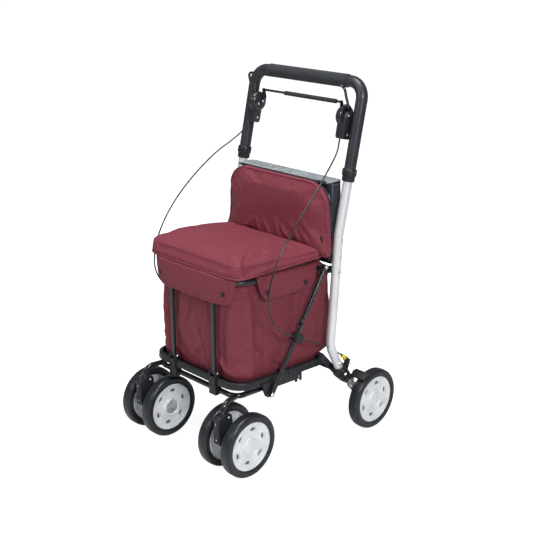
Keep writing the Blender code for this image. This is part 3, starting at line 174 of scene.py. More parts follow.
class RollatorSizes(bpy.types.PropertyGroup):
    piping: bpy.props.FloatProperty(
        name="Piping", description="Radius of the piping sewn along the cushions", unit="LENGTH",
        default=0.0022)
    stitch: bpy.props.FloatProperty(
        name="Stitch", description="Length of one stitch", unit="LENGTH", default=0.0034)
    wheel_steps: bpy.props.IntProperty(
        name="Wheel steps", description="Faces round a wheel", default=96, min=24, max=192)
    weave: bpy.props.FloatProperty(
        name="Weave", description="Distance between two threads of the cloth", unit="LENGTH", default=0.0011)


# Shader node groups

def new_group(name, inputs, outputs):
    """A node group with float or vector inputs and float or colour outputs."""
    group = bpy.data.node_groups.new(name, "ShaderNodeTree")
    for label, kind, default in inputs:
        socket = group.interface.new_socket(name=label, in_out="INPUT", socket_type=kind)
        socket.default_value = default
    for label, kind in outputs:
        group.interface.new_socket(name=label, in_out="OUTPUT", socket_type=kind)
    return group, group.nodes.new("NodeGroupInput"), group.nodes.new("NodeGroupOutput")


def maths(tree, operation, first, second=None, third=None, clamp=False):
    """A Math node; each operand is a number or a socket."""
    node = tree.nodes.new("ShaderNodeMath")
    node.operation = operation
    node.use_clamp = clamp
    for slot, value in enumerate((first, second, third)):
        if value is None:
            continue
        if isinstance(value, (int, float)):
            node.inputs[slot].default_value = value
        else:
            tree.links.new(value, node.inputs[slot])
    return node.outputs[0]


def noise_of(tree, vector, scale, detail=2.0, roughness=0.5):
    node = tree.nodes.new("ShaderNodeTexNoise")
    node.inputs["Detail"].default_value = detail
    node.inputs["Roughness"].default_value = roughness
    if isinstance(scale, (int, float)):
        node.inputs["Scale"].default_value = scale
    else:
        tree.links.new(scale, node.inputs["Scale"])
    tree.links.new(vector, node.inputs["Vector"])
    return node.outputs["Fac"]


def stretched(tree, vector, scale):
    node = tree.nodes.new("ShaderNodeMapping")
    node.inputs["Scale"].default_value = scale
    tree.links.new(vector, node.inputs["Vector"])
    return node.outputs["Vector"]


def object_place(tree):
    return tree.nodes.new("ShaderNodeTexCoord").outputs["Object"]


def ramp(tree, value, low, high):
    """The value, spread from 0 at low to 1 at high."""
    node = tree.nodes.new("ShaderNodeMapRange")
    node.inputs["From Min"].default_value = low
    node.inputs["From Max"].default_value = high
    tree.links.new(value, node.inputs["Value"])
    return node.outputs["Result"]


def weave_group():
    """Plain weave: the height of its threads and how light each thread is."""
    group, given, out = new_group(
        "cloth_weave", [("Pitch", "NodeSocketFloat", 0.0011), ("Slub", "NodeSocketFloat", 1.0)],
        [("Height", "NodeSocketFloat"), ("Thread", "NodeSocketFloat")])
    place = object_place(group)
    split = group.nodes.new("ShaderNodeSeparateXYZ")
    group.links.new(place, split.inputs[0])
    turns = maths(group, "DIVIDE", 2 * math.pi, given.outputs["Pitch"])
    waves = [maths(group, "SINE", maths(group, "MULTIPLY", axis, turns)) for axis in split.outputs]
    pairs = [maths(group, "MULTIPLY", waves[a], waves[b]) for a, b in ((0, 1), (1, 2), (2, 0))]
    threads = maths(group, "ADD", maths(group, "ADD", pairs[0], pairs[1]), pairs[2])
    across = noise_of(group, stretched(group, place, (170, 170, 760)), 1.0, 4.0, 0.65)
    along = noise_of(group, stretched(group, place, (760, 520, 150)), 1.0, 4.0, 0.65)
    slubs = maths(group, "MULTIPLY", maths(group, "SUBTRACT", maths(group, "ADD", across, along), 1.0),
                  given.outputs["Slub"])
    group.links.new(maths(group, "MULTIPLY_ADD", threads, 0.25, 0.5), out.inputs["Height"])
    light = maths(group, "ADD", maths(group, "MULTIPLY_ADD", threads, 0.1, 0.5), slubs, clamp=True)
    group.links.new(light, out.inputs["Thread"])
    return group


def grain_group():
    """Fine moulded or sprayed grain, with a slow mottle over it."""
    group, given, out = new_group(
        "fine_grain", [("Scale", "NodeSocketFloat", 900.0), ("Mottle scale", "NodeSocketFloat", 30.0)],
        [("Height", "NodeSocketFloat"), ("Mottle", "NodeSocketFloat")])
    place = object_place(group)
    group.links.new(noise_of(group, place, given.outputs["Scale"], 2.0), out.inputs["Height"])
    slow = noise_of(group, place, given.outputs["Mottle scale"], 4.0, 0.6)
    group.links.new(slow, out.inputs["Mottle"])
    return group


def wear_group():
    """Where raised edges are rubbed, broken up by noise."""
    group, given, out = new_group(
        "edge_wear", [("Start", "NodeSocketFloat", 0.53), ("Scale", "NodeSocketFloat", 160.0)],
        [("Mask", "NodeSocketFloat")])
    geometry = group.nodes.new("ShaderNodeNewGeometry")
    place = object_place(group)
    edge = maths(group, "MULTIPLY",
                 maths(group, "SUBTRACT", geometry.outputs["Pointiness"], given.outputs["Start"]), 9.0,
                 clamp=True)
    broken = ramp(group, noise_of(group, place, given.outputs["Scale"], 5.0, 0.65), 0.45, 0.75)
    group.links.new(maths(group, "MULTIPLY", edge, broken, clamp=True), out.inputs["Mask"])
    return group


def dust_group():
    """Pale dust on faces that look up and near the floor."""
    group, given, out = new_group(
        "road_dust", [("Amount", "NodeSocketFloat", 0.3), ("Fade height", "NodeSocketFloat", 0.25)],
        [("Mask", "NodeSocketFloat")])
    geometry = group.nodes.new("ShaderNodeNewGeometry")
    place = object_place(group)
    up = group.nodes.new("ShaderNodeSeparateXYZ")
    group.links.new(geometry.outputs["Normal"], up.inputs[0])
    height = group.nodes.new("ShaderNodeSeparateXYZ")
    group.links.new(geometry.outputs["Position"], height.inputs[0])
    low = maths(group, "SUBTRACT", 1.0,
                maths(group, "DIVIDE", height.outputs["Z"], given.outputs["Fade height"]), clamp=True)
    facing = maths(group, "MULTIPLY_ADD", up.outputs["Z"], 0.4, 0.5, clamp=True)
    patchy = ramp(group, noise_of(group, place, 70.0, 6.0, 0.7), 0.35, 0.75)
    mask = maths(group, "MULTIPLY", maths(group, "MULTIPLY", low, facing), patchy)
    group.links.new(maths(group, "MULTIPLY", mask, given.outputs["Amount"], clamp=True), out.inputs["Mask"])
    return group


def brushed_group():
    """Long fine drawing lines along an upright tube."""
    group, given, out = new_group("drawn_lines", [("Strength", "NodeSocketFloat", 1.0)],
                                  [("Lines", "NodeSocketFloat")])
    place = object_place(group)
    fine = noise_of(group, stretched(group, place, (1800, 1800, 18)), 1.0, 3.0, 0.6)
    broad = noise_of(group, stretched(group, place, (240, 240, 6)), 1.0, 2.0)
    both = maths(group, "MULTIPLY_ADD", fine, 0.6, maths(group, "MULTIPLY", broad, 0.4))
    group.links.new(maths(group, "MULTIPLY", both, given.outputs["Strength"]), out.inputs["Lines"])
    return group


def crinkle_group():
    """Creased coated cloth: soft facets between sharp little folds, and a mask on the folds for painted
    shade.
    """
    group, given, out = new_group(
        "crinkle", [("Scale", "NodeSocketFloat", 55.0)],
        [("Height", "NodeSocketFloat"), ("Fold", "NodeSocketFloat")])
    place = object_place(group)
    bent = group.nodes.new("ShaderNodeVectorMath")
    bent.operation = "MULTIPLY_ADD"
    warp = group.nodes.new("ShaderNodeTexNoise")
    warp.inputs["Scale"].default_value = 30.0
    group.links.new(place, warp.inputs["Vector"])
    group.links.new(warp.outputs["Color"], bent.inputs[0])
    bent.inputs[1].default_value = (0.03, 0.03, 0.03)
    group.links.new(place, bent.inputs[2])
    cells = group.nodes.new("ShaderNodeTexVoronoi")
    cells.feature = "DISTANCE_TO_EDGE"
    group.links.new(given.outputs["Scale"], cells.inputs["Scale"])
    group.links.new(bent.outputs[0], cells.inputs["Vector"])
    group.links.new(maths(group, "POWER", cells.outputs["Distance"], 0.5), out.inputs["Height"])
    group.links.new(ramp(group, cells.outputs["Distance"], 0.12, 0.0), out.inputs["Fold"])
    return group


GROUPS = {}


def make_groups():
    GROUPS.update(weave=weave_group(), grain=grain_group(), wear=wear_group(), dust=dust_group(),
                  brushed=brushed_group(), crinkle=crinkle_group())


# Materials

def use_group(material, name, **values):
    node = material.node_tree.nodes.new("ShaderNodeGroup")
    node.node_tree = GROUPS[name]
    for label, value in values.items():
        node.inputs[label.replace("_", " ")].default_value = value
    return node


def start_finish(name, roughness, metallic=0.0, **sockets):
    """A new material and its Principled shader, with the given sockets set."""
    material = bpy.data.materials.new(name)
    material.use_nodes = True
    shader = material.node_tree.nodes["Principled BSDF"]
    shader.inputs["Roughness"].default_value = roughness
    shader.inputs["Metallic"].default_value = metallic
    for label, value in sockets.items():
        shader.inputs[label.replace("_", " ")].default_value = value
    return material, shader


def blend_colours(material, factor, first, second):
    node = material.node_tree.nodes.new("ShaderNodeMix")
    node.data_type = "RGBA"
    for socket, value in ((node.inputs["A"], first), (node.inputs["B"], second)):
        if isinstance(value, bpy.types.NodeSocket):
            material.node_tree.links.new(value, socket)
        else:
            socket.default_value = (*value, 1.0)
    material.node_tree.links.new(factor, node.inputs["Factor"])
    return node.outputs["Result"]


def bump(material, shader, height, distance, strength=1.0, under=None):
    node = material.node_tree.nodes.new("ShaderNodeBump")
    node.inputs["Distance"].default_value = distance
    node.inputs["Strength"].default_value = strength
    material.node_tree.links.new(height, node.inputs["Height"])
    if under is not None:
        material.node_tree.links.new(under, node.inputs["Normal"])
    material.node_tree.links.new(node.outputs["Normal"], shader.inputs["Normal"])
    return node.outputs["Normal"]


def shade(colour, factor):
    return tuple(min(1.0, channel * factor) for channel in colour)


def cloth_finish(name, colour, lighter, pitch, roughness=0.66, crinkled=0.0):
    material, shader = start_finish(name, roughness, Sheen_Weight=0.05, Sheen_Roughness=0.5,
                                    Specular_IOR_Level=0.35)
    shader.inputs["Sheen Tint"].default_value = (*shade(colour, 2.2), 1.0)
    tree = material.node_tree
    weave = use_group(material, "weave", Pitch=pitch)
    grain = use_group(material, "grain", Scale=520.0, Mottle_scale=9.0)
    threads = blend_colours(material, weave.outputs["Thread"], shade(colour, 0.7), lighter)
    mottle = ramp(tree, grain.outputs["Mottle"], 0.3, 0.75)
    base = blend_colours(material, maths(tree, "MULTIPLY", mottle, 0.3), threads, shade(colour, 1.45))
    tree.links.new(base, shader.inputs["Base Color"])
    rough = maths(tree, "MULTIPLY_ADD", weave.outputs["Thread"], -0.12, roughness + 0.06)
    tree.links.new(rough, shader.inputs["Roughness"])
    normal = bump(material, shader, weave.outputs["Height"], 0.0003, 0.55)
    normal = bump(material, shader, grain.outputs["Mottle"], 0.004, 0.35, normal)
    if crinkled:
        crinkle = use_group(material, "crinkle", Scale=46.0)
        bump(material, shader, crinkle.outputs["Height"], crinkled, 0.8, normal)
    return material


def coated_finish(name, colour):
    material, shader = start_finish(name, 0.38, 0.25)
    tree = material.node_tree
    crinkle = use_group(material, "crinkle", Scale=60.0)
    grain = use_group(material, "grain", Scale=1400.0, Mottle_scale=22.0)
    base = blend_colours(material, ramp(tree, grain.outputs["Mottle"], 0.3, 0.7), shade(colour, 0.75),
                         shade(colour, 1.3))
    # painted shade: the lid's base colour is darkened along the crinkle folds
    fold_shade = maths(tree, "MULTIPLY", crinkle.outputs["Fold"], 0.35)
    tree.links.new(blend_colours(material, fold_shade, base, shade(colour, 0.6)), shader.inputs["Base Color"])
    tree.links.new(maths(tree, "MULTIPLY_ADD", grain.outputs["Mottle"], 0.25, 0.28),
                   shader.inputs["Roughness"])
    normal = bump(material, shader, crinkle.outputs["Height"], 0.0035, 0.7)
    bump(material, shader, grain.outputs["Height"], 0.0002, 0.4, normal)
    return material


def moulded_finish(name, colour, roughness, grain_depth=0.00012, dusty=0.1, worn=0.35, metallic=0.0,
                   coat=0.0):
    """Painted metal or moulded plastic: grain, mottle, rubbed edges and a little dust."""
    material, shader = start_finish(name, roughness, metallic, Coat_Weight=coat, Coat_Roughness=0.12)
    tree = material.node_tree
    grain = use_group(material, "grain", Scale=1100.0, Mottle_scale=35.0)
    wear = use_group(material, "wear")
    dust = use_group(material, "dust", Amount=dusty)
    mottle = ramp(tree, grain.outputs["Mottle"], 0.3, 0.7)
    base = blend_colours(material, mottle, shade(colour, 0.88), shade(colour, 1.14))
    rubbed = maths(tree, "MULTIPLY", wear.outputs["Mask"], worn)
    base = blend_colours(material, rubbed, base, shade(colour, 3.2))
    base = blend_colours(material, dust.outputs["Mask"], base, (0.3, 0.29, 0.27))
    tree.links.new(base, shader.inputs["Base Color"])
    rough = maths(tree, "MULTIPLY_ADD", mottle, 0.12, roughness - 0.06)
    rough = maths(tree, "ADD", rough, maths(tree, "MULTIPLY", dust.outputs["Mask"], 0.5), clamp=True)
    tree.links.new(rough, shader.inputs["Roughness"])
    bump(material, shader, grain.outputs["Height"], grain_depth, 0.5)
    return material


def metal_finish(name, colour, roughness, drawn=0.0, metallic=1.0):
    material, shader = start_finish(name, roughness, metallic)
    tree = material.node_tree
    grain = use_group(material, "grain", Scale=700.0, Mottle_scale=28.0)
    mottle = ramp(tree, grain.outputs["Mottle"], 0.25, 0.75)
    base = blend_colours(material, mottle, shade(colour, 0.93), shade(colour, 1.05))
    height = grain.outputs["Height"]
    rough = maths(tree, "MULTIPLY_ADD", mottle, 0.14, roughness - 0.07)
    if drawn:
        lines = use_group(material, "brushed", Strength=drawn)
        height = lines.outputs["Lines"]
        rough = maths(tree, "MULTIPLY_ADD", ramp(tree, height, 0.3, 0.7), 0.16, roughness - 0.08)
    wear = use_group(material, "wear", Start=0.54)
    base = blend_colours(material, maths(tree, "MULTIPLY", wear.outputs["Mask"], 0.3), base,
                         shade(colour, 1.25))
    tree.links.new(base, shader.inputs["Base Color"])
    tree.links.new(rough, shader.inputs["Roughness"])
    bump(material, shader, height, 0.00015, 0.4)
    return material


def foam_finish(name, colour):
    material, shader = start_finish(name, 0.85, Sheen_Weight=0.1, Sheen_Roughness=0.4)
    tree = material.node_tree
    grain = use_group(material, "grain", Scale=1500.0, Mottle_scale=45.0)
    pores = ramp(tree, grain.outputs["Height"], 0.4, 0.6)
    base = blend_colours(material, pores, shade(colour, 0.72), shade(colour, 1.18))
    mottle = maths(tree, "MULTIPLY", ramp(tree, grain.outputs["Mottle"], 0.35, 0.8), 0.4)
    tree.links.new(blend_colours(material, mottle, base, shade(colour, 1.5)), shader.inputs["Base Color"])
    tree.links.new(maths(tree, "MULTIPLY_ADD", pores, 0.15, 0.72), shader.inputs["Roughness"])
    bump(material, shader, pores, 0.0004, 0.45)
    return material


FINISHES = {}


def make_finishes(colours, sizes):
    black = tuple(colours.black)
    cloth = tuple(colours.cloth)
    FINISHES.update(
        cloth=cloth_finish("burgundy_cloth", cloth, (0.3, 0.062, 0.088), sizes.weave),
        # piping: the same burgundy cloth made lighter, a painted highlight on the round piping, bag seams and
        # flap hems
        piping=cloth_finish("burgundy_piping_highlight", shade(cloth, 1.18), (0.3, 0.075, 0.108), 0.0009),
        thread=cloth_finish("sewing_thread", shade(cloth, 0.62), shade(cloth, 1.1), 0.0006),
        gusset=cloth_finish("grey_cloth", tuple(colours.gusset), (0.05, 0.06, 0.076), sizes.weave, 0.8),
        edging=cloth_finish("grey_piping", (0.1, 0.115, 0.14), (0.18, 0.2, 0.235), 0.0009, 0.7),
        lining=cloth_finish("black_lining", (0.018, 0.018, 0.021), (0.04, 0.041, 0.046), 0.0008),
        lid=coated_finish("silver_cloth", tuple(colours.lid)),
        tape=cloth_finish("zip_tape", (0.016, 0.017, 0.02), (0.034, 0.036, 0.041), 0.0007),
        paint=moulded_finish("black_paint", black, 0.34, 0.00006, coat=0.25),
        gloss=moulded_finish("gloss_black_paint", shade(black, 0.55), 0.22, 0.00004, coat=0.5),
        tube=moulded_finish("handle_paint", shade(black, 1.5), 0.42, 0.0001, coat=0.1),
        nylon=moulded_finish("black_nylon", shade(black, 0.8), 0.42, 0.00014),
        smooth=moulded_finish("smooth_black_moulding", shade(black, 1.25), 0.3, 0.00006, coat=0.3),
        foam=foam_finish("grip_foam", (0.022, 0.025, 0.032)),
        aluminium=metal_finish("satin_aluminium", (0.9, 0.92, 0.95), 0.38, 1.0, 0.55),
        steel=metal_finish("zinc_steel", (0.7, 0.71, 0.73), 0.28),
        dark_steel=metal_finish("gunmetal", (0.06, 0.062, 0.068), 0.32),
        tyre=moulded_finish("tyre_rubber", (0.011, 0.014, 0.02), 0.3, 0.0001, dusty=0.1, worn=0.15),
        disc=moulded_finish("silver_disc", tuple(colours.disc), 0.34, 0.00005, dusty=0.05, worn=0.1,
                            metallic=0.08),
        # recess: a dark copy of the disc colour, painted shade for the floors of the oval recesses
        recess=moulded_finish("painted_shade_disc", shade(colours.disc, 0.16), 0.5, 0.00005, dusty=0.02, worn=0.0),
        cap=metal_finish("hub_cap", (0.93, 0.94, 0.96), 0.34),
        yellow=moulded_finish("yellow_moulding", tuple(colours.adjuster), 0.36, 0.00005, dusty=0.03,
                              worn=0.05),
        sheath=moulded_finish("cable_sheath", shade(black, 0.7), 0.28, 0.00003, worn=0.1, coat=0.3),
        shoe=moulded_finish("brake_shoe", (0.01, 0.01, 0.011), 0.55, 0.0002),
    )


# Mesh helpers: each makes a bmesh, and join_parts puts several into one piece

def rounded(points, radius, steps=10, closed=False):
    """The polyline with each corner turned into an arc."""
    points = [Vector(p) for p in points]
    count = len(points)
    route = []
    for number, here in enumerate(points):
        if not closed and number in (0, count - 1):
            route.append(here)
            continue
        before, after = points[number - 1] - here, points[(number + 1) % count] - here
        half = before.angle(after) / 2
        reach = min(radius / math.tan(half), 0.48 * before.length, 0.48 * after.length)
        if reach < 1e-6:
            route.append(here)
            continue
        start, end = here + before.normalized() * reach, here + after.normalized() * reach
        sag = reach * math.tan(half)
        centre = here + (before.normalized() + after.normalized()).normalized() * (sag / math.sin(half))
        first, last = start - centre, end - centre
        turn = first.angle(last)
        for step in range(steps + 1):
            share = step / steps
            spoke = first * math.sin((1 - share) * turn) + last * math.sin(share * turn)
            route.append(centre + spoke / math.sin(turn))
    return route


def curved(guides, samples):
    """A Catmull-Rom curve through the guide points."""
    guides = [Vector(g) for g in guides]
    route = []
    for before, here, after, beyond in zip([guides[0]] + guides, guides, guides[1:],
                                           guides[2:] + [guides[-1]]):
        for step in range(samples):
            t = step / samples
            route.append(0.5 * (
                2 * here + (after - before) * t + (2 * before - 5 * here + 4 * after - beyond) * t * t
                + (3 * here - before - 3 * after + beyond) * t ** 3
            ))
    return route + [guides[-1]]


def skin(rings, closed_rings=True, caps=True, loop=False):
    """Faces between neighbouring rings of points."""
    bm = bmesh.new()
    rows = [[bm.verts.new(p) for p in ring] for ring in rings]
    pairs = list(zip(rows, rows[1:])) + ([(rows[-1], rows[0])] if loop else [])
    count = len(rows[0])
    for low, high in pairs:
        for here in range(count if closed_rings else count - 1):
            after = (here + 1) % count
            bm.faces.new((low[here], low[after], high[after], high[here]))
    if caps and not loop:
        bm.faces.new(list(reversed(rows[0])))
        bm.faces.new(rows[-1])
    bmesh.ops.recalc_face_normals(bm, faces=bm.faces)
    return bm


def sweep(path, section, closed=False, up=None):
    """A section of (sideways, upward) points carried along a path without twisting."""
    path = [Vector(p) for p in path]
    count = len(path)
    rings, normal = [], None
    for number, here in enumerate(path):
        before = path[number - 1] if number or closed else here
        after = path[(number + 1) % count] if number < count - 1 or closed else here
        along = (after - before).normalized()
        if up is not None:
            side = along.cross(Vector(up)).normalized()
        elif normal is None:
            side = along.orthogonal().normalized()
        else:
            side = (normal - along * normal.dot(along)).normalized()
        normal = side
        rise = side.cross(along).normalized()
        rings.append([here + side * a + rise * b for a, b in section])
    return skin(rings, caps=not closed, loop=closed)


def circle(radius, sides=14):
    return [(radius * math.cos(2 * math.pi * s / sides), radius * math.sin(2 * math.pi * s / sides))
            for s in range(sides)]


def tube(path, radius, sides=14, closed=False):
    return sweep(path, circle(radius, sides), closed)


def turned(profile, origin, axis, steps=32, closed=False):
    """A profile of (radius, distance along the axis) turned round the axis; closed joins its ends."""
    axis = Vector(axis).normalized()
    side = axis.orthogonal().normalized()
    other = axis.cross(side)
    origin = Vector(origin)
    bm = bmesh.new()
    rows = []
    for radius, along in profile:
        centre = origin + axis * along
        if radius < 1e-6:
            rows.append([bm.verts.new(centre)])
            continue
        rows.append([
            bm.verts.new(centre + side * radius * math.cos(2 * math.pi * s / steps)
                         + other * radius * math.sin(2 * math.pi * s / steps)) for s in range(steps)
        ])
    for low, high in zip(rows, rows[1:] + (rows[:1] if closed else [])):
        for here in range(steps):
            after = (here + 1) % steps
            corners = [low[here % len(low)], low[after % len(low)], high[after % len(high)],
                       high[here % len(high)]]
            kept = [corner for place, corner in enumerate(corners) if corner not in corners[:place]]
            if len(kept) > 2:
                bm.faces.new(kept)
    bmesh.ops.recalc_face_normals(bm, faces=bm.faces)
    return bm


def softened(bm, width, segments=2, angle=32.0):
    """Bevels the edges that turn more than the angle."""
    edges = [e for e in bm.edges if len(e.link_faces) == 2 and e.calc_face_angle(0.0) > math.radians(angle)]
    bmesh.ops.bevel(bm, geom=edges, offset=width, segments=segments, profile=0.5, affect="EDGES",
                    clamp_overlap=True)
    return bm


def slab(outline, x_low, x_high, bevel=0.0006):
    """A plate with a (Y, Z) outline between two X values."""
    low, high = sorted((x_low, x_high))
    return softened(skin([[(low, y, z) for y, z in outline], [(high, y, z) for y, z in outline]]), bevel)


def block(low, high, bevel=0.0008):
    low, high = [min(a, b) for a, b in zip(low, high)], [max(a, b) for a, b in zip(low, high)]
    outline = [(low[1], low[2]), (high[1], low[2]), (high[1], high[2]), (low[1], high[2])]
    return softened(skin([[(low[0], y, z) for y, z in outline], [(high[0], y, z) for y, z in outline]]),
                    bevel)


def rod(start, end, radius, sides=18, edge=0.0005, far_radius=None):
    """A straight bar with softened ends."""
    start, end = Vector(start), Vector(end)
    length = (end - start).length
    last = radius if far_radius is None else far_radius
    edge = min(edge, radius * 0.4, length * 0.3)
    profile = [(0, 0), (radius - edge, 0), (radius, edge), (last, length - edge), (last - edge, length),
               (0, length)]
    return turned(profile, start, end - start, sides)


def link_outline(first, first_radius, last, last_radius, steps=12):
    """The outline of a flat link round two centres."""
    first, last = Vector(first[:2]), Vector(last[:2])
    along = last - first
    angle = math.atan2(along.y, along.x)
    tilt = math.acos(max(-1.0, min(1.0, (first_radius - last_radius) / along.length)))
    outline = []
    for centre, radius, low, high in ((last, last_radius, -tilt, tilt),
                                      (first, first_radius, tilt, 2 * math.pi - tilt)):
        for step in range(steps + 1):
            turn = angle + low + (high - low) * step / steps
            outline.append((centre.x + radius * math.cos(turn), centre.y + radius * math.sin(turn)))
    return outline


def rivet(centre, axis, radius=0.003, height=0.0016, sides=20):
    """A domed rivet head standing on a surface."""
    profile = [(radius, -0.0003), (radius, 0.25 * height), (0.86 * radius, 0.62 * height),
               (0.5 * radius, 0.92 * height), (0.0, height)]
    return turned(profile, centre, axis, sides)


def hex_head(centre, axis, across=0.0042, height=0.0026):
    """A six-sided bolt head on a washer, with a dimple."""
    washer = turned([(0, -0.0002), (across * 1.25, -0.0002), (across * 1.25, 0.0007), (0, 0.0007)], centre,
                    axis, 24)
    head = turned([(0, 0.0005), (across, 0.0005), (across, height * 0.82), (across * 0.86, height),
                   (across * 0.4, height), (across * 0.3, height * 0.72), (0, height * 0.7)], centre, axis, 6)
    return merge(washer, head)


def side_slab(sign, outline, x_low, x_high, *shape):
    """A slab between two X values of the left side, or mirrored by the sign."""
    return slab(outline, sign * x_low, sign * x_high, *shape)


def side_rod(sign, place, x_from, x_to, *shape):
    """A rod along X at a (Y, Z) place."""
    return rod((sign * x_from, *place), (sign * x_to, *place), *shape)


def side_rivet(sign, place, x, radius, height, inward=False):
    """A rivet head that faces away from the middle, or towards it."""
    return rivet((sign * x, *place), (-sign if inward else sign, 0, 0), radius, height)


def side_bolt(sign, place, x, across, height):
    """A bolt head that faces away from the middle."""
    return hex_head((sign * x, *place), (sign, 0, 0), across, height)


def soft_outline(outline, radius, steps):
    """A flat outline with its corners rounded."""
    return [(p.x, p.y) for p in rounded([(a, b, 0) for a, b in outline], radius, steps, closed=True)]


def mirrored(route, sign):
    return [Vector((sign * x, y, z)) for x, y, z in route]


def merge(*parts):
    """All parts in the first one's bmesh."""
    whole = bmesh.new()
    for part in parts:
        mesh = bpy.data.meshes.new("part")
        part.to_mesh(mesh)
        part.free()
        whole.from_mesh(mesh)
        bpy.data.meshes.remove(mesh)
    return whole


def join_parts(name, *parts):
    bm = merge(*parts)
    mesh = bpy.data.meshes.new(name)
    bm.to_mesh(mesh)
    bm.free()
    return mesh


def dress(name, mesh, body, finish, slot, replaces=(), smooth=38.0):
    """An object from a mesh, a bmesh or a list of them, in its finish, riding on its body."""
    if isinstance(mesh, bmesh.types.BMesh):
        mesh = [mesh]
    if isinstance(mesh, list):
        mesh = join_parts(name, *mesh)
    piece = bpy.data.objects.new(name, mesh)
    bpy.context.scene.collection.objects.link(piece)
    mesh.materials.append(FINISHES[finish])
    mesh.shade_smooth()
    mesh.set_sharp_from_angle(angle=math.radians(smooth))
    if replaces:
        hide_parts(*replaces)
    if body:
        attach(piece, body)
    return piece


def refinish(node, finish):
    """Puts a finish on a CAD node that the scene keeps."""
    materials = frame["nodes"][node].data.materials
    materials.clear()
    materials.append(FINISHES[finish])


def carve(mesh, cutter):
    """The mesh with the cutter's volume taken away."""
    solid = bpy.data.objects.new("carved", mesh)
    tool = bpy.data.objects.new("carver", cutter)
    for item in (solid, tool):
        bpy.context.scene.collection.objects.link(item)
    cutting = solid.modifiers.new("cut", "BOOLEAN")
    cutting.object = tool
    cutting.solver = "EXACT"
    graph = bpy.context.evaluated_depsgraph_get()
    made = bpy.data.meshes.new_from_object(solid.evaluated_get(graph))
    for item in (solid, tool):
        bpy.data.objects.remove(item)
    return made


def loop_outline(half, low, high, low_radius, high_radius, steps=8, runs=(1, 1)):
    """A rounded rectangle's (X, Y) points, anticlockwise; runs split the straight Y and X sides."""
    corners = [
        (half - low_radius, low + low_radius, low_radius, -0.5),
        (half - high_radius, high - high_radius, high_radius, 0.0),
        (high_radius - half, high - high_radius, high_radius, 0.5),
        (low_radius - half, low + low_radius, low_radius, 1.0),
    ]
    arcs = []
    for x, y, radius, start in corners:
        arcs.append([
            Vector((x + radius * math.cos(math.pi * (start + 0.5 * s / steps)),
                    y + radius * math.sin(math.pi * (start + 0.5 * s / steps)))) for s in range(steps + 1)
        ])
    outline = []
    for number, arc in enumerate(arcs):
        outline += arc
        after = arcs[(number + 1) % 4][0]
        count = runs[number % 2]
        outline += [arc[-1].lerp(after, step / count) for step in range(1, count)]
    return outline


def inset_outline(inset, half, low, high, low_radius, high_radius, **more):
    return loop_outline(half - inset, low + inset, high - inset, max(low_radius - inset, 0.003),
                        max(high_radius - inset, 0.003), **more)


# Wheels

TYRE_SECTION = (
    (0.058, 0.0122), (0.0594, 0.013), (0.0612, 0.0136), (0.0616, 0.0131), (0.0624, 0.0131), (0.0628, 0.0138),
    (0.065, 0.014), (0.068, 0.0139), (0.0705, 0.0132), (0.0727, 0.0118), (0.0741, 0.0098), (0.0748, 0.0074),
    (0.075, 0.0045), (0.075, 0.0),
)
DISC_SECTION = (
    (0.0, 0.0108), (0.0186, 0.0108), (0.019, 0.0126), (0.02, 0.0134), (0.0218, 0.0133), (0.0227, 0.0122),
    (0.0233, 0.0096), (0.0245, 0.0088), (0.029, 0.0085), (0.0495, 0.0087), (0.0515, 0.0094), (0.053, 0.0108),
    (0.0548, 0.0116), (0.0566, 0.0117), (0.0576, 0.011), (0.0578, 0.0095), (0.0578, -0.0098),
    (0.0568, -0.0108), (0.0545, -0.0106), (0.052, -0.007), (0.05, -0.0058), (0.0205, -0.0058),
    (0.0182, -0.007),
)
RECESSES = 6
RECESS_RING = 0.04
RECESS_TURN = 0.3


def tyre_mesh(outward, steps):
    half = [(radius, outward * x) for radius, x in TYRE_SECTION]
    far = [(radius, -x) for radius, x in reversed(half[:-1])]
    return join_parts("tyre", turned(half + far, (0, 0, 0), (1, 0, 0), steps, closed=True))


def oval(angle, half_width, half_length, x):
    """An oval loop on the disc's face, its long way round the wheel."""
    up, across = Vector((0, math.cos(angle), math.sin(angle))), Vector((0, -math.sin(angle), math.cos(angle)))
    loop = []
    for step in range(24):
        turn = 2 * math.pi * step / 24
        out, round_ = math.cos(turn), math.sin(turn)
        place = up * (RECESS_RING + out * half_width) + across * round_ * half_length
        loop.append(place + Vector((x, 0, 0)))
    return loop


def disc_mesh(outward, reach, steps):
    """A wheel disc with oval recesses, a raised hub ring and ribs on its back."""
    section = list(DISC_SECTION) + [(0.0142, -reach + 0.002), (0.0136, -reach), (0.0044, -reach),
                                    (0.0044, 0.0095), (0.0, 0.0095)]
    face = turned([(radius, outward * x) for radius, x in section], (0, 0, 0), (1, 0, 0), steps)
    hollows = []
    for number in range(RECESSES):
        angle = 2 * math.pi * number / RECESSES + RECESS_TURN
        rings = [oval(angle, 0.0036, 0.0074, outward * 0.0046), oval(angle, 0.0044, 0.0084, outward * 0.0056),
                 oval(angle, 0.0062, 0.0104, outward * 0.0096)]
        hollows.append(skin(rings))
    disc = carve(join_parts("disc", face), join_parts("hollows", *hollows))
    bm = bmesh.new()
    bm.from_mesh(disc)
    ribs = []
    for number in range(RECESSES):
        angle = 2 * math.pi * (number + 0.5) / RECESSES + RECESS_TURN
        along, aside = Vector((math.cos(angle), math.sin(angle))), Vector((-math.sin(angle), math.cos(angle)))
        corners = [(0.0175, -0.0011), (0.0525, -0.0009), (0.0525, 0.0009), (0.0175, 0.0011)]
        outline = [tuple(along * a + aside * b) for a, b in corners]
        ribs.append(slab(outline, -outward * 0.0095, -outward * 0.005, 0.0003))
    return join_parts("disc", bm, *ribs)


def recess_shade_plates(outward):
    """Dark plates on the floors of the oval recesses: painted shade in the recesses."""
    floors = []
    for number in range(RECESSES):
        angle = 2 * math.pi * number / RECESSES + RECESS_TURN
        floors.append(skin([oval(angle, width, length, outward * x)
                            for width, length,
                            x in ((0.0038, 0.0076, 0.0044), (0.0041, 0.008, 0.005),
                                  (0.003, 0.0066, 0.0056))]))
    return join_parts("floors", *floors)


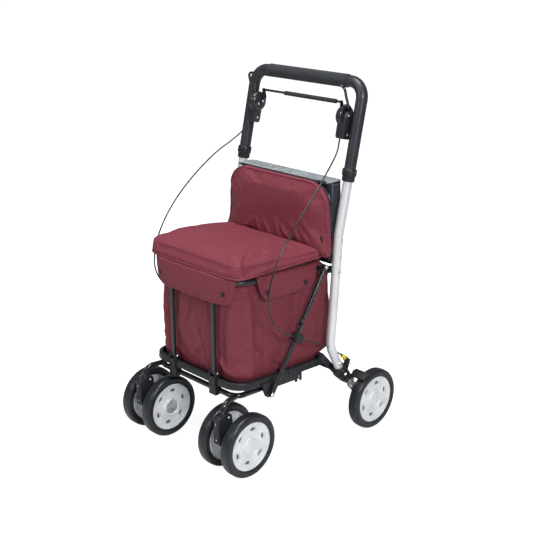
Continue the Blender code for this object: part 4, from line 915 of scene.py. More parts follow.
def cap_mesh(outward):
    """A hub cap pressed into shallow wedges that catch the light in turn."""
    wedges = 16
    bm = bmesh.new()
    centre = bm.verts.new((outward * 0.0128, 0, 0))
    rings = []
    for radius, heights in ((0.006, (0.0124, 0.012)), (0.0172, (0.0121, 0.0113)), (0.0184, (0.0108, 0.0108))):
        rings.append([
            bm.verts.new((outward * heights[s % 2], radius * math.cos(2 * math.pi * s / wedges),
                          radius * math.sin(2 * math.pi * s / wedges))) for s in range(wedges)
        ])
    for here in range(wedges):
        after = (here + 1) % wedges
        bm.faces.new((centre, rings[0][here], rings[0][after]))
        for low, high in zip(rings, rings[1:]):
            bm.faces.new((low[here], high[here], high[after]))
            bm.faces.new((low[here], high[after], low[after]))
    bmesh.ops.recalc_face_normals(bm, faces=bm.faces)
    if sum(face.normal.x for face in bm.faces) * outward < 0:
        bmesh.ops.reverse_faces(bm, faces=bm.faces)
    return join_parts("cap", bm)


def make_wheels(scene):
    steps = scene.rollator_sizes.wheel_steps
    made = {}
    for name, body in WHEELS:
        centre = middle("tyre_" + name)
        sign = 1.0 if "left" in name else -1.0
        outward = -sign if "inner" in name else sign
        reach = 0.0195 if "rear" in name else 0.027
        key = (outward, reach)
        if key not in made:
            made[key] = (tyre_mesh(outward, steps), disc_mesh(outward, reach, steps), cap_mesh(outward),
                         recess_shade_plates(outward))
        for mesh, label, finish, slot, stands_for, smooth in (
            (made[key][0], "tyre_rubber_", "tyre", "tyre_rubber", ["tyre_" + name], 30),
            (made[key][1], "silver_disc_", "disc", "silver_plastic", ["disc_" + name], 30),
            (made[key][2], "hub_cap_", "cap", "silver_plastic", [], 2),
            # dark plates in the recesses: painted shade
            (made[key][3], "recess_shade_plate_", "recess", "silver_plastic", [], 30),
        ):
            piece = dress(label + name, mesh.copy(), None, finish, slot, stands_for, smooth)
            piece.location = centre
            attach(piece, body)


class ROLLATOR_OT_wheels(bpy.types.Operator):
    """Six wheels: rubber tyres, silver discs with oval recesses, and wedge-pressed hub caps"""
    bl_idname = "rollator.wheels"
    bl_label = "Wheels"

    def execute(self, context):
        make_wheels(context.scene)
        return {"FINISHED"}


def make_casters():
    for side, sign in SIDES:
        body = "caster_" + side
        low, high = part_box("caster_fork_" + side)
        x = sign * CASTER_X
        axle = pivot(f"front_spin_{side}_outer")
        nose, top = low.y, high.z
        outline = [
            (nose + 0.005, top), (nose, top - 0.006), (nose, 0.087), (nose + 0.003, 0.0835),
            (axle.y - 0.006, 0.0652), (axle.y, 0.064), (axle.y + 0.006, 0.0655), (axle.y + 0.0105, 0.071),
            (axle.y + 0.0108, 0.077), (axle.y + 0.008, 0.084), (-0.203, 0.114), (-0.206, top - 0.005),
            (-0.21, top),
        ]
        outline = soft_outline(outline, 0.004, 3)
        half = 0.0095
        cover = [(nose - 0.0014, 0.14), (nose - 0.0014, 0.0905), (nose + 0.002, 0.089), (nose + 0.002, 0.141)]
        fork = join_parts(
            body, slab(outline, x - half, x + half, 0.0014), slab(cover, x - 0.0062, x + 0.0062, 0.0006),
            turned([(0.0062, 0), (0.0092, 0), (0.0092, 0.0022), (0.0078, 0.0036), (0.0062, 0.0036)],
                   (x, STEM_Y, top - 0.0008), (0, 0, 1), 32, closed=True),
            block((x - half - 0.0008, axle.y - 0.0052, axle.z - 0.0052),
                  (x + half + 0.0008, axle.y + 0.0052, axle.z + 0.0052), 0.0018),
        )
        dress("caster_fork_shell_" + side, fork, body, "nylon", "black_plastic", ["caster_fork_" + side])
        bolts = [rod((x - 0.0462, axle.y, axle.z), (x + 0.0462, axle.y, axle.z), 0.0039)]
        bolts.append(rivet((x, nose - 0.0014, 0.1345), (0, -1, 0), 0.0018, 0.0009))
        bolts.append(rivet((x, nose - 0.0014, 0.0965), (0, -1, 0), 0.0018, 0.0009))
        for reach in (-1, 1):
            bolts.append(hex_head((x + reach * half, -0.216, 0.1445), (reach, 0, 0), 0.0026, 0.0019))
        dress("caster_axle_" + side, bolts, body, "steel", "zinc_steel")


class ROLLATOR_OT_casters(bpy.types.Operator):
    """Two swivel forks with front covers, stem collars and through axles"""
    bl_idname = "rollator.casters"
    bl_label = "Casters"

    def execute(self, context):
        make_casters()
        return {"FINISHED"}


# Tray, base and struts

def make_base():
    base_pin, clevis = pivot("base_fold"), pivot("strut_fold")
    path = [(p.x, p.y, rim_z(p.y))
            for p in loop_outline(RIM_X, RIM_FRONT[0], RIM_REAR_Y, 0.04, 0.018, 12, (16, 12))]
    section = [(-0.0045, -0.0088), (-0.0038, -0.0095), (0.003, -0.0095), (0.0045, -0.008), (0.0045, 0.0066),
               (0.004, 0.008), (0.0022, 0.0095), (-0.0038, 0.0095), (-0.0045, 0.0088)]
    rim = sweep(path, section, closed=True, up=(0, 0, 1))
    slit_y, slit_height = -0.165, 0.0045
    for vertex in rim.verts:
        if vertex.co.y < slit_y and vertex.co.z < rim_z(vertex.co.y) - 0.004:
            vertex.co.z += slit_height
    parts = [rim]
    lip = [(0.004, -0.003), (0.0052, -0.0026), (0.0052, 0.0026), (0.004, 0.003)]
    parts.append(sweep([(x, y, z - 0.0035) for x, y, z in path], lip, closed=True, up=(0, 0, 1)))
    bolts = []
    for sign in (1.0, -1.0):
        ear = link_outline((base_pin.y + 0.002, rim_z(base_pin.y)), 0.008, (base_pin.y, base_pin.z), 0.0075)
        band = [(-0.08, 0.188), (-0.08, 0.169), (-0.005, 0.164), (-0.005, 0.1575), (0.0008, 0.1572),
                (0.0016, 0.164), (0.0095, 0.1635), (0.0102, 0.1568), (0.016, 0.1565), (0.016, 0.183)]
        foot_y = STAY_FOOT[0]
        foot = [(foot_y - 0.024, 0.193), (foot_y - 0.0085, 0.157), (foot_y - 0.004, 0.154),
                (foot_y + 0.004, 0.1533), (foot_y + 0.009, 0.156), (foot_y + 0.02, 0.19)]
        parts += [
            side_slab(sign, ear, 0.1445, 0.1525, 0.001), side_slab(sign, band, 0.1462, 0.1498, 0.0006),
            side_slab(sign, foot, 0.1468, 0.1548, 0.001),
            block((sign * 0.128, -0.104, base_z(-0.1) + 0.0067), (sign * 0.144, -0.09, 0.1873)),
        ]
        for y in (-0.06, -0.03, 0.04, 0.066):
            parts.append(block((sign * 0.1488, y - 0.0012, rim_z(y) - 0.008),
                               (sign * 0.152, y + 0.0012, rim_z(y) + 0.004), 0.0005))
        inner, outer = STRUT_X - 0.0115, STRUT_X + 0.0115
        front, back = clevis.y - 0.008, clevis.y + 0.0045
        parts.append(block((sign * inner, front, 0.1665), (sign * outer, -0.176, 0.193), 0.0012))
        parts.append(block((sign * inner, front, 0.19), (sign * outer, front + 0.004, 0.211), 0.001))
        cheek = [(front, 0.19), (back, 0.19), (back, 0.219), (back - 0.002, 0.223), (-0.187, 0.2242),
                 (-0.1915, 0.2232), (front, 0.219)]
        for x in (inner, outer - 0.003):
            parts.append(side_slab(sign, cheek, x, x + 0.003, 0.0007))
        for x, outward in ((inner, -1), (outer, 1)):
            bolts.append(rivet((sign * x, clevis.y, clevis.z), (sign * outward, 0, 0), 0.0034, 0.0026))
            bolts.append(rivet((sign * x, clevis.y + 0.001, 0.1985), (sign * outward, 0, 0), 0.002, 0.001))
        bolts.append(side_rod(sign, (clevis.y, clevis.z), inner + 0.001, outer - 0.001, 0.0023))
        bolts.append(side_rivet(sign, (0.006, 0.17), 0.1498, 0.0024, 0.0012))
        bolts.append(side_rivet(sign, (foot_y, STAY_FOOT[1]), 0.1548, 0.003, 0.0003))
    dress("tray_rim_moulding", parts, "base", "nylon", "black_plastic", ["tray_rim"])
    dress("tray_bolts", bolts, "base", "steel", "zinc_steel")
    x, front = BASE_X, BASE_FRONT[0]
    corners = [(a, b, base_z(b) - 0.0015) for a,
               b in ((x, BASE_REAR_Y), (x, front), (-x, front), (-x, BASE_REAR_Y))]
    parts = [tube(rounded(corners, 0.025, 12), 0.0063, 20)]
    for sign in (1.0, -1.0):
        neck = [(sign * (x - 0.004), front + 0.006, base_z(front) - 0.0015),
                (sign * CASTER_X, STEM_Y, base_z(front) - 0.001), (sign * CASTER_X, STEM_Y, 0.129)]
        parts.append(tube(rounded(neck, 0.022, 14), 0.0062, 20))
        parts.append(turned([(0.0057, 0), (0.0076, 0), (0.008, 0.001), (0.008, 0.0032), (0.0057, 0.004)],
                            (sign * CASTER_X, STEM_Y, 0.154), (0, 0, 1), 28, closed=True))
        parts.append(rod((sign * x, BASE_REAR_Y - 0.001, base_z(BASE_REAR_Y)),
                         (sign * x, BASE_REAR_Y + 0.0022, base_z(BASE_REAR_Y)), 0.0067, 20))
    dress("base_tube_bent", parts, "base", "gloss", "black_powder_coat", ["base_tube"])
    refinish("tray_floor", "nylon")


class ROLLATOR_OT_base(bpy.types.Operator):
    """The tray's moulded rim with its hooks and clevises, and the bent tube that carries the casters"""
    bl_idname = "rollator.base"
    bl_label = "Base"

    def execute(self, context):
        make_base()
        return {"FINISHED"}


def eyed_bar(first, last, half_depth, x_low, x_high, eyes, bevel=0.0011):
    """A straight bar between two (Y, Z) places with a round eye at each end."""
    bar = slab(link_outline(first, half_depth, last, half_depth), x_low, x_high, bevel)
    ends = [rod((x_low, *place), (x_high, *place), radius, 28, 0.0008) for place,
            radius in zip((first, last), eyes)]
    return [bar] + ends


def make_struts():
    low = pivot("strut_fold")
    for side, sign in SIDES:
        parts = eyed_bar((low.y, low.z), RING_PIN, 0.00325, sign * (STRUT_X - 0.005),
                         sign * (STRUT_X + 0.005), (0.005, 0.0046))
        dress("front_strut_bar_" + side, parts, "struts", "paint", "black_powder_coat",
              ["front_strut_" + side])


class ROLLATOR_OT_struts(bpy.types.Operator):
    """The two flat front struts between the tray and the seat ring"""
    bl_idname = "rollator.struts"
    bl_label = "Front struts"

    def execute(self, context):
        make_struts()
        return {"FINISHED"}


def make_stays():
    pin, knee = pivot("stay_upper_fold").yz, pivot("stay_lower_fold").yz
    foot = Vector(STAY_FOOT)
    along = (foot - pin).normalized()
    across = Vector((-along.y, along.x))
    for side, sign in SIDES:
        def spot(centre, distance, x=STAY_X):
            place = centre + along * distance
            return (sign * x, place.x, place.y)

        def plate(first, last, radius, x_low, x_high):
            return side_slab(sign, link_outline(first, radius, last, radius), x_low, x_high, 0.0005)

        upper = [
            tube([spot(pin, 0.011), spot(knee, -0.0115)], 0.0052, 22),
            plate(pin, pin + along * 0.017, 0.006, 0.1582, 0.1644),
            plate(knee, knee - along * 0.015, 0.0051, 0.1573, 0.1604),
        ]
        dress("stay_upper_bar_" + side, upper, "stay_upper", "gloss", "black_powder_coat",
              ["stay_upper_" + side])
        lower = [
            tube([spot(knee, 0.0115), spot(foot, -0.008)], 0.0052, 22),
            plate(knee, knee + along * 0.015, 0.0051, 0.1626, 0.1658),
            plate(foot, foot - along * 0.015, 0.0056, 0.1582, 0.164),
        ]
        dress("stay_lower_bar_" + side, lower, "stay_lower", "gloss", "black_powder_coat",
              ["stay_lower_" + side])
        knee_pin = [side_rod(sign, knee, 0.1588, 0.1662, 0.0023),
                    side_rivet(sign, knee, 0.166, 0.0026, 0.001)]
        dress("knee_rivet_" + side, knee_pin, "stay_upper", "dark_steel", "zinc_steel")
        bolt = [side_rod(sign, foot, 0.1553, 0.1655, 0.0036),
                side_bolt(sign, foot, 0.164, 0.004, 0.003)]
        dress("stay_foot_bolt_" + side, bolt, "stay_lower", "steel", "zinc_steel")
        centre = knee + along * 0.0315
        half, waist = 0.012, 0.008
        outline = []
        for a, b in ((-half, -waist - 0.0035), (0, -waist), (half, -waist - 0.0035), (half, waist + 0.0035),
                     (0, waist), (-half, waist + 0.0035)):
            place = centre + along * b + across * a
            outline.append((place.x, place.y))
        clip = [side_slab(sign, soft_outline(outline, 0.0035, 5), 0.1556, 0.1754, 0.0016)]
        for reach in (-0.0068, 0.0068):
            place = centre + across * reach
            clip.append(side_rivet(sign, (place.x, place.y), 0.1754, 0.002, 0.001))
        dress("cable_clip_" + side, clip, "stay_lower", "nylon", "black_plastic", ["stay_clip_" + side])


class ROLLATOR_OT_stays(bpy.types.Operator):
    """The folding side stays, their knee joints and the cable clips"""
    bl_idname = "rollator.stays"
    bl_label = "Side stays"

    def execute(self, context):
        make_stays()
        return {"FINISHED"}


# Uprights, rear brackets and brakes

CROSS_BAR = (0.118, 0.154)
BRACKET_TOE = (0.15, 0.121)
AXLE_BOLT = (0.1435, 0.118)
SHOE_PIVOT = (0.14, 0.112)
ADJUSTER_X = 0.178
CABLE_RADIUS = 0.0018
WIRE_RADIUS = 0.0008
ADJUSTER_TOP = (0.1242, 0.1944)
ADJUSTER_BOTTOM = (0.1366, 0.1824)
CABLE_ROUTE = (
    (0.1455, 0.1448, 0.7206), (0.14785, 0.13992, 0.71353), (0.156, 0.123, 0.689), (0.166, 0.0945, 0.668),
    (0.175, 0.066, 0.651), (0.1825, 0.038, 0.631), (0.188, 0.0046, 0.6062), (0.1915, -0.033, 0.5755),
    (0.1935, -0.064, 0.546), (0.194, -0.093, 0.513), (0.194, -0.1155, 0.479), (0.194, -0.131, 0.44),
    (0.194, -0.136, 0.403), (0.193, -0.129, 0.372), (0.19, -0.111, 0.344), (0.184, -0.084, 0.32),
    (0.1765, -0.054, 0.3005), (0.17, -0.0312, 0.288), (0.17, -0.018, 0.2808), (0.17, -0.004, 0.2731),
    (0.166, 0.03, 0.2555), (0.159, 0.064, 0.237), (0.1545, 0.088, 0.224), (0.157, 0.106, 0.2125),
    (0.168, 0.115, 0.2035), (0.178, 0.1213, 0.1972),
)
ADJUSTER_ROUTE = ((0.178, 0.1242, 0.1944), (0.178, 0.1366, 0.1824), (0.178, 0.14163, 0.17753))
WIRE_ROUTE = (
    (0.178, 0.14, 0.179), (0.178, 0.1421, 0.1771), (0.178, 0.1488, 0.1706), (0.183, 0.1508, 0.1655),
    (0.19, 0.1508, 0.158), (0.1942, 0.15, 0.152), (0.1943, 0.149, 0.148),
)


def make_uprights():
    for side, sign in SIDES:
        x = sign * UPRIGHT_X
        spots = [(x, leg_y(z), z) for z in (FOOT_END_Z, LEG_BEND[1], WAIST_Z, UPRIGHT_TOP_Z)]
        dress("upright_tube_" + side, tube(rounded(spots, 0.06, 12), UPRIGHT_RADIUS, 40), "frame",
              "aluminium", "satin_aluminium", ["upright_" + side])
        heads = []
        for z in RIVET_HEIGHTS:
            heads.append(rivet((x + sign * (UPRIGHT_RADIUS - 0.0004), leg_y(z), z), (sign, 0, 0), 0.0034,
                               0.0016))
        z = 0.176
        heads.append(hex_head((x + sign * (UPRIGHT_RADIUS - 0.0006), leg_y(z), z), (sign, 0, 0), 0.0036,
                              0.0026))
        dress("upright_rivets_" + side, heads, "frame", "steel", "zinc_steel")


class ROLLATOR_OT_uprights(bpy.types.Operator):
    """The two bent aluminium uprights and the rivets through them"""
    bl_idname = "rollator.uprights"
    bl_label = "Uprights"

    def execute(self, context):
        make_uprights()
        return {"FINISHED"}


def make_rear():
    rake = Vector((0.0, math.sin(FOOT_RAKE), -math.cos(FOOT_RAKE)))
    down = (Vector(ADJUSTER_BOTTOM) - Vector(ADJUSTER_TOP)).normalized()
    base_pin, axle = pivot("base_fold"), pivot("rear_spin_left")
    ears = []
    for side, sign in SIDES:
        foot = Vector((sign * UPRIGHT_X, leg_y(FOOT_END_Z), FOOT_END_Z))
        socket = [(0, 0.003), (0.0112, 0.003), (0.0112, 0), (0.0138, 0), (0.0145, 0.0008), (0.0145, 0.003),
                  (0.0139, 0.0036), (0.0139, 0.006), (0.0145, 0.0066), (0.0145, 0.0252), (0.0136, 0.0262),
                  (0, 0.0262)]
        boss_top = Vector((sign * ADJUSTER_X, ADJUSTER_BOTTOM[0] + 0.0004, ADJUSTER_BOTTOM[1] - 0.0004))
        boss_end = boss_top + Vector((0.0, down.x, down.y)) * 0.013
        toe = link_outline((foot.y, foot.z - 0.002), 0.0135, BRACKET_TOE, 0.01)
        parts = [
            turned(socket, foot - rake * 0.02, rake, 36),
            side_slab(sign, toe, 0.158, 0.1885, 0.0018),
            side_slab(sign, link_outline(CROSS_BAR, 0.009, (foot.y, foot.z), 0.012), 0.158, 0.1675, 0.0012),
            rod(boss_top, boss_end, 0.0062, 24, 0.0008),
            side_slab(sign, link_outline((foot.y + 0.004, foot.z), 0.009, (boss_end.y, boss_end.z), 0.006),
                      0.174, 0.182, 0.0008),
        ]
        dress("rear_bracket_moulding_" + side, parts, "frame", "nylon", "black_plastic",
              ["rear_bracket_" + side])
        bolts = [
            side_bolt(sign, (foot.y - 0.001, foot.z - 0.001), 0.1885, 0.0042, 0.003),
            side_bolt(sign, AXLE_BOLT, 0.192, 0.0036, 0.0026),
            side_bolt(sign, (CROSS_BAR[0] - 0.001, CROSS_BAR[1]), 0.1675, 0.0034, 0.0024),
        ]
        plates = [
            side_slab(sign, link_outline(AXLE_BOLT, 0.0105, (axle.y, axle.z), 0.012), 0.189, 0.192, 0.0005),
            side_rod(sign, (axle.y, axle.z), 0.1895, 0.233, 0.004, 24),
            side_rod(sign, SHOE_PIVOT, 0.1895, 0.2012, 0.0028, 20),
            side_rivet(sign, SHOE_PIVOT, 0.201, 0.0042, 0.0018),
        ]
        dress("rear_axle_plate_" + side, plates, "frame", "steel", "zinc_steel", ["rear_axle_" + side])
        dress("bracket_bolts_" + side, bolts, "frame", "steel", "zinc_steel")
        ears += [
            side_slab(sign, link_outline(CROSS_BAR, 0.0075, (base_pin.y, base_pin.z), 0.007), 0.154, 0.157,
                      0.0006),
            side_rod(sign, (base_pin.y, base_pin.z), 0.1435, 0.159, 0.0028, 20),
            side_rivet(sign, (base_pin.y, base_pin.z), 0.1588, 0.0038, 0.0014),
        ]
    bar = rod((-0.1602, *CROSS_BAR), (0.1602, *CROSS_BAR), 0.005, 28)
    dress("rear_cross_tube", [bar, *ears], "frame", "paint", "black_powder_coat", ["rear_cross_bar"])


class ROLLATOR_OT_rear(bpy.types.Operator):
    """The rear brackets, the cross bar between them and the axle plates"""
    bl_idname = "rollator.rear"
    bl_label = "Rear brackets and axles"

    def execute(self, context):
        make_rear()
        return {"FINISHED"}


def make_brakes():
    axle = pivot("rear_spin_left")
    angle = math.radians(28.0)
    inner, between, outer = 0.078, 0.0815, 0.085
    tip = (axle.y - between * math.sin(angle), axle.z + between * math.cos(angle))
    shoe = []
    for radius, turns in ((inner, range(-8, 9, 2)), (outer, range(8, -9, -2))):
        for degrees in turns:
            turn = angle + math.radians(degrees)
            shoe.append((axle.y - radius * math.sin(turn), axle.z + radius * math.cos(turn)))
    start, end = Vector(ADJUSTER_TOP), Vector(ADJUSTER_BOTTOM)
    length = (end - start).length
    down = (end - start).normalized()
    for side, sign in SIDES:
        arm = [side_slab(sign, link_outline(SHOE_PIVOT, 0.0052, tip, 0.003), 0.1955, 0.199, 0.0008)]
        arm.append(side_rod(sign, SHOE_PIVOT, 0.194, 0.2005, 0.005, 24))
        dress("brake_arm_link_" + side, arm, "brake_arms", "steel", "zinc_steel", ["brake_arm_" + side])
        pad = [side_slab(sign, shoe, 0.196, 0.237, 0.0012)]
        dress("brake_shoe_" + side, pad, "brake_arms", "shoe", "black_plastic")
        profile = [
            (0.0023, 0.0), (0.003, 0.0), (0.0032, 0.0004), (0.0032, 0.003), (0.0044, 0.0036), (0.005, 0.0044),
            (0.005, 0.0072), (0.0046, 0.0076), (0.0046, 0.0084), (0.005, 0.0088), (0.005, length - 0.001),
            (0.0042, length), (0.0023, length),
        ]
        barrel = turned(profile, (sign * ADJUSTER_X, *ADJUSTER_TOP), (0, down.x, down.y), 32, closed=True)
        dress("cable_adjuster_barrel_" + side, barrel, "frame", "yellow", "yellow_plastic",
              ["cable_adjuster_" + side])


class ROLLATOR_OT_brakes(bpy.types.Operator):
    """The brake arms and shoes on the rear wheels, and the cable adjusters"""
    bl_idname = "rollator.brakes"
    bl_label = "Rear brakes"

    def execute(self, context):
        make_brakes()
        return {"FINISHED"}


def make_cables():
    for side, sign in SIDES:
        route = mirrored(CABLE_ROUTE, sign)
        held = mirrored(ADJUSTER_ROUTE, sign)
        cable = dress("brake_cable_sheath_" + side,
                      tube(curved(route + held[:1], 8) + held[1:2], CABLE_RADIUS, 16), None, "sheath",
                      "black_plastic", ["brake_cable_" + side])
        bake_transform(cable)
        wire = curved(mirrored(WIRE_ROUTE, sign), 6)
        last = wire[-1]
        ends = [tube(wire, WIRE_RADIUS, 12),
                rod(last + Vector((-sign * 0.0016, 0, 0.0004)), last + Vector((sign * 0.0014, 0, 0.0004)),
                    0.0024, 18)]
        dress("brake_wire_" + side, ends, "frame", "steel", "zinc_steel")
        sleeve = [rod(route[0].lerp(route[1], -0.05), route[1], 0.0027, 20, 0.0004)]
        dress("upper_cable_sleeve_" + side, sleeve, "handle", "smooth", "black_plastic")
        sleeve = [rod(route[-1].lerp(held[0], -0.4), held[0].lerp(route[-1], -0.1), 0.0026, 20, 0.0004)]
        dress("lower_cable_sleeve_" + side, sleeve, "frame", "smooth", "black_plastic")


class ROLLATOR_OT_cables(bpy.types.Operator):
    """The brake cables from the handle housings to the rear brakes, with their end sleeves and bare wires"""
    bl_idname = "rollator.cables"
    bl_label = "Brake cables"

    def execute(self, context):
        make_cables()
        return {"FINISHED"}


# Seat ring, its hinges and the backrest's tube

def make_ring():
    ring_pin, stay_pin = pivot("seat_fold").yz, pivot("stay_upper_fold").yz
    anchor = (leg_y(0.411), 0.411)
    end, front = 0.066, RING_PIN
    corners = [(RING_X, end), (RING_X, RING_BAR_Y), (-RING_X, RING_BAR_Y), (-RING_X, end)]
    parts = [tube(rounded([(a, b, ring_z(b)) for a, b in corners], 0.045, 14), RING_RADIUS, 24)]
    bolts = []
    for side, sign in SIDES:
        ear = link_outline((end - 0.006, ring_z(end - 0.006)), 0.0065, ring_pin, 0.0075)
        tab = link_outline((RING_BAR_Y, ring_z(RING_BAR_Y)), 0.006, front, 0.0048)
        parts += [side_slab(sign, ear, 0.1395, 0.1464, 0.0008), side_slab(sign, tab, 0.0758, 0.0788, 0.0006)]
        bolts.append(side_rod(sign, front, 0.0645, 0.079, 0.0023, 20))
        bolts.append(side_rivet(sign, front, 0.0645, 0.0036, 0.0018, inward=True))
        bolts.append(side_rivet(sign, front, 0.0788, 0.0036, 0.0016))
    dress("seat_ring_tube", parts, "seat_ring", "paint", "black_powder_coat", ["seat_frame"])
    dress("seat_ring_rivets", bolts, "seat_ring", "steel", "zinc_steel")
    for side, sign in SIDES:
        plate = [
            side_slab(sign, link_outline(ring_pin, 0.0075, anchor, 0.009), 0.1525, 0.1555, 0.0006),
            side_slab(sign, link_outline(stay_pin, 0.0065, anchor, 0.006), 0.1525, 0.1555, 0.0006),
            side_rod(sign, anchor, 0.153, 0.1608, 0.007, 28),
        ]
        dress("seat_hinge_plate_" + side, plate, "frame", "paint", "black_powder_coat",
              ["seat_hinge_" + side])
        pins = [
            side_rod(sign, ring_pin, 0.1385, 0.154, 0.0028, 20),
            side_rod(sign, stay_pin, 0.154, 0.1662, 0.0028, 20),
            side_bolt(sign, stay_pin, 0.165, 0.0036, 0.003),
            side_bolt(sign, (anchor[0], anchor[1]), 0.1828, 0.0036, 0.0028),
        ]
        dress("seat_hinge_bolts_" + side, pins, "frame", "steel", "zinc_steel")
    x, y, top = 0.1515, 0.107, 0.606
    path = rounded([(x, y, 0.432), (x, y, top), (-x, y, top), (-x, y, 0.432)], 0.044, 14)
    parts = [tube(path, 0.006, 24)]
    for side, sign in SIDES:
        for z in RIVET_HEIGHTS:
            parts.append(side_rod(sign, (y, z), x, 0.1608, 0.0035, 18))
        parts.append(turned([(0, 0), (0.005, 0.0006), (0.006, 0.0026), (0, 0.0026)], (sign * x, y, 0.4305),
                            (0, 0, 1), 24))
    dress("backrest_tube", parts, "frame", "paint", "black_powder_coat", ["backrest_frame"])


class ROLLATOR_OT_ring(bpy.types.Operator):
    """The bent seat ring with its ears and tabs, and the hinge plates that carry it on the uprights"""
    bl_idname = "rollator.ring"
    bl_label = "Seat ring and hinges"

    def execute(self, context):
        make_ring()
        return {"FINISHED"}


# Handle and brake controls

BAIL_PIVOT = (0.1624, 0.7809)
BAIL_ELBOW = (0.153, 0.806)
BAIL_BAR = (0.146, 0.831)
HOUSING_CENTRE = (0.163, 0.76)
PARKING_PIVOT = (0.172, 0.77)
PARKING_BAR = (0.17, 0.789)


def make_handle():
    lean = Vector((0.0, math.sin(HANDLE_LEAN), math.cos(HANDLE_LEAN)))
    x = UPRIGHT_X
    spots = [(x, HANDLE_BOTTOM_Z), (x, HANDLE_TOP_Z), (-x, HANDLE_TOP_Z), (-x, HANDLE_BOTTOM_Z)]
    path = rounded([(a, leg_y(z), z) for a, z in spots], 0.038, 16)
    dress("handle_bent_tube", tube(path, HANDLE_RADIUS, 40), "handle", "tube", "black_powder_coat",
          ["handle_tube"])
    centre = Vector((0.0, leg_y(HANDLE_TOP_Z), HANDLE_TOP_Z))
    half, skin_radius = 0.125, 0.0155
    profile = [(HANDLE_RADIUS - 0.0005, -half), (skin_radius - 0.0013, -half),
               (skin_radius - 0.0004, -half + 0.0006), (skin_radius, -half + 0.0016),
               (skin_radius, -half + 0.004), (skin_radius - 0.0005, -half + 0.0046),
               (skin_radius, -half + 0.0052)]
    profile += [(skin_radius, -half + 0.0052 + (2 * half - 0.0104) * s / 30) for s in range(1, 30)]
    profile += [(radius, -along) for radius, along in reversed(profile[:7])]
    dress("handle_grip_foam", turned(profile, centre, (1, 0, 0), 48, closed=True), "handle", "foam",
          "grip_foam", ["hand_grip"])
    for side, sign in SIDES:
        base = Vector((sign * x, leg_y(HANDLE_BOTTOM_Z), HANDLE_BOTTOM_Z)) - lean * 0.0128
        step, height = 0.0125, 0.017
        top = step + height
        profile = [
            (0.0112, 0.002), (0.0124, 0.0002), (0.0134, 0.0), (0.014, 0.0008), (0.014, step),
            (0.016, step + 0.0004), (0.0168, step + 0.0016), (0.0168, top - 0.003), (0.016, top - 0.0008),
            (0.0148, top), (0.0132, top + 0.0002), (0.0132, top - 0.003), (0.0112, step),
        ]
        parts = [turned(profile, base, lean, 48, closed=True)]
        side_way, other = lean.orthogonal().normalized(), lean.cross(lean.orthogonal().normalized())
        for number in range(20):
            turn = 2 * math.pi * number / 20
            out = side_way * math.cos(turn) + other * math.sin(turn)
            foot = base + out * 0.0138
            parts.append(rod(foot + lean * 0.0012, foot + lean * (step - 0.0004), 0.001, 10, 0.0003))
        dress("height_collar_moulding_" + side, parts, "handle", "nylon", "black_plastic",
              ["height_collar_" + side])
        middle_spot = base + lean * (step + height / 2)
        out = Vector((sign, 0, 0))
        well = turned([(0.0042, 0.0155), (0.0042, 0.017), (0.0054, 0.0172), (0.006, 0.016), (0.006, 0.015)],
                      middle_spot, out, 32, closed=True)
        dress("button_surround_" + side, well, "handle", "nylon", "black_plastic")
        profile = [(0, 0.0152), (0.0039, 0.0152), (0.0039, 0.018), (0.0036, 0.0186), (0.0028, 0.0188),
                   (0.001, 0.0184), (0, 0.0183)]
        dress("height_button_cap_" + side, turned(profile, middle_spot, out, 32), "button_" + side, "smooth",
              "black_plastic", ["height_button_" + side])


class ROLLATOR_OT_handle(bpy.types.Operator):
    """The sliding push handle: bent tube, foam grip, height collars and their buttons"""
    bl_idname = "rollator.handle"
    bl_label = "Handle"

    def execute(self, context):
        make_handle()
        return {"FINISHED"}


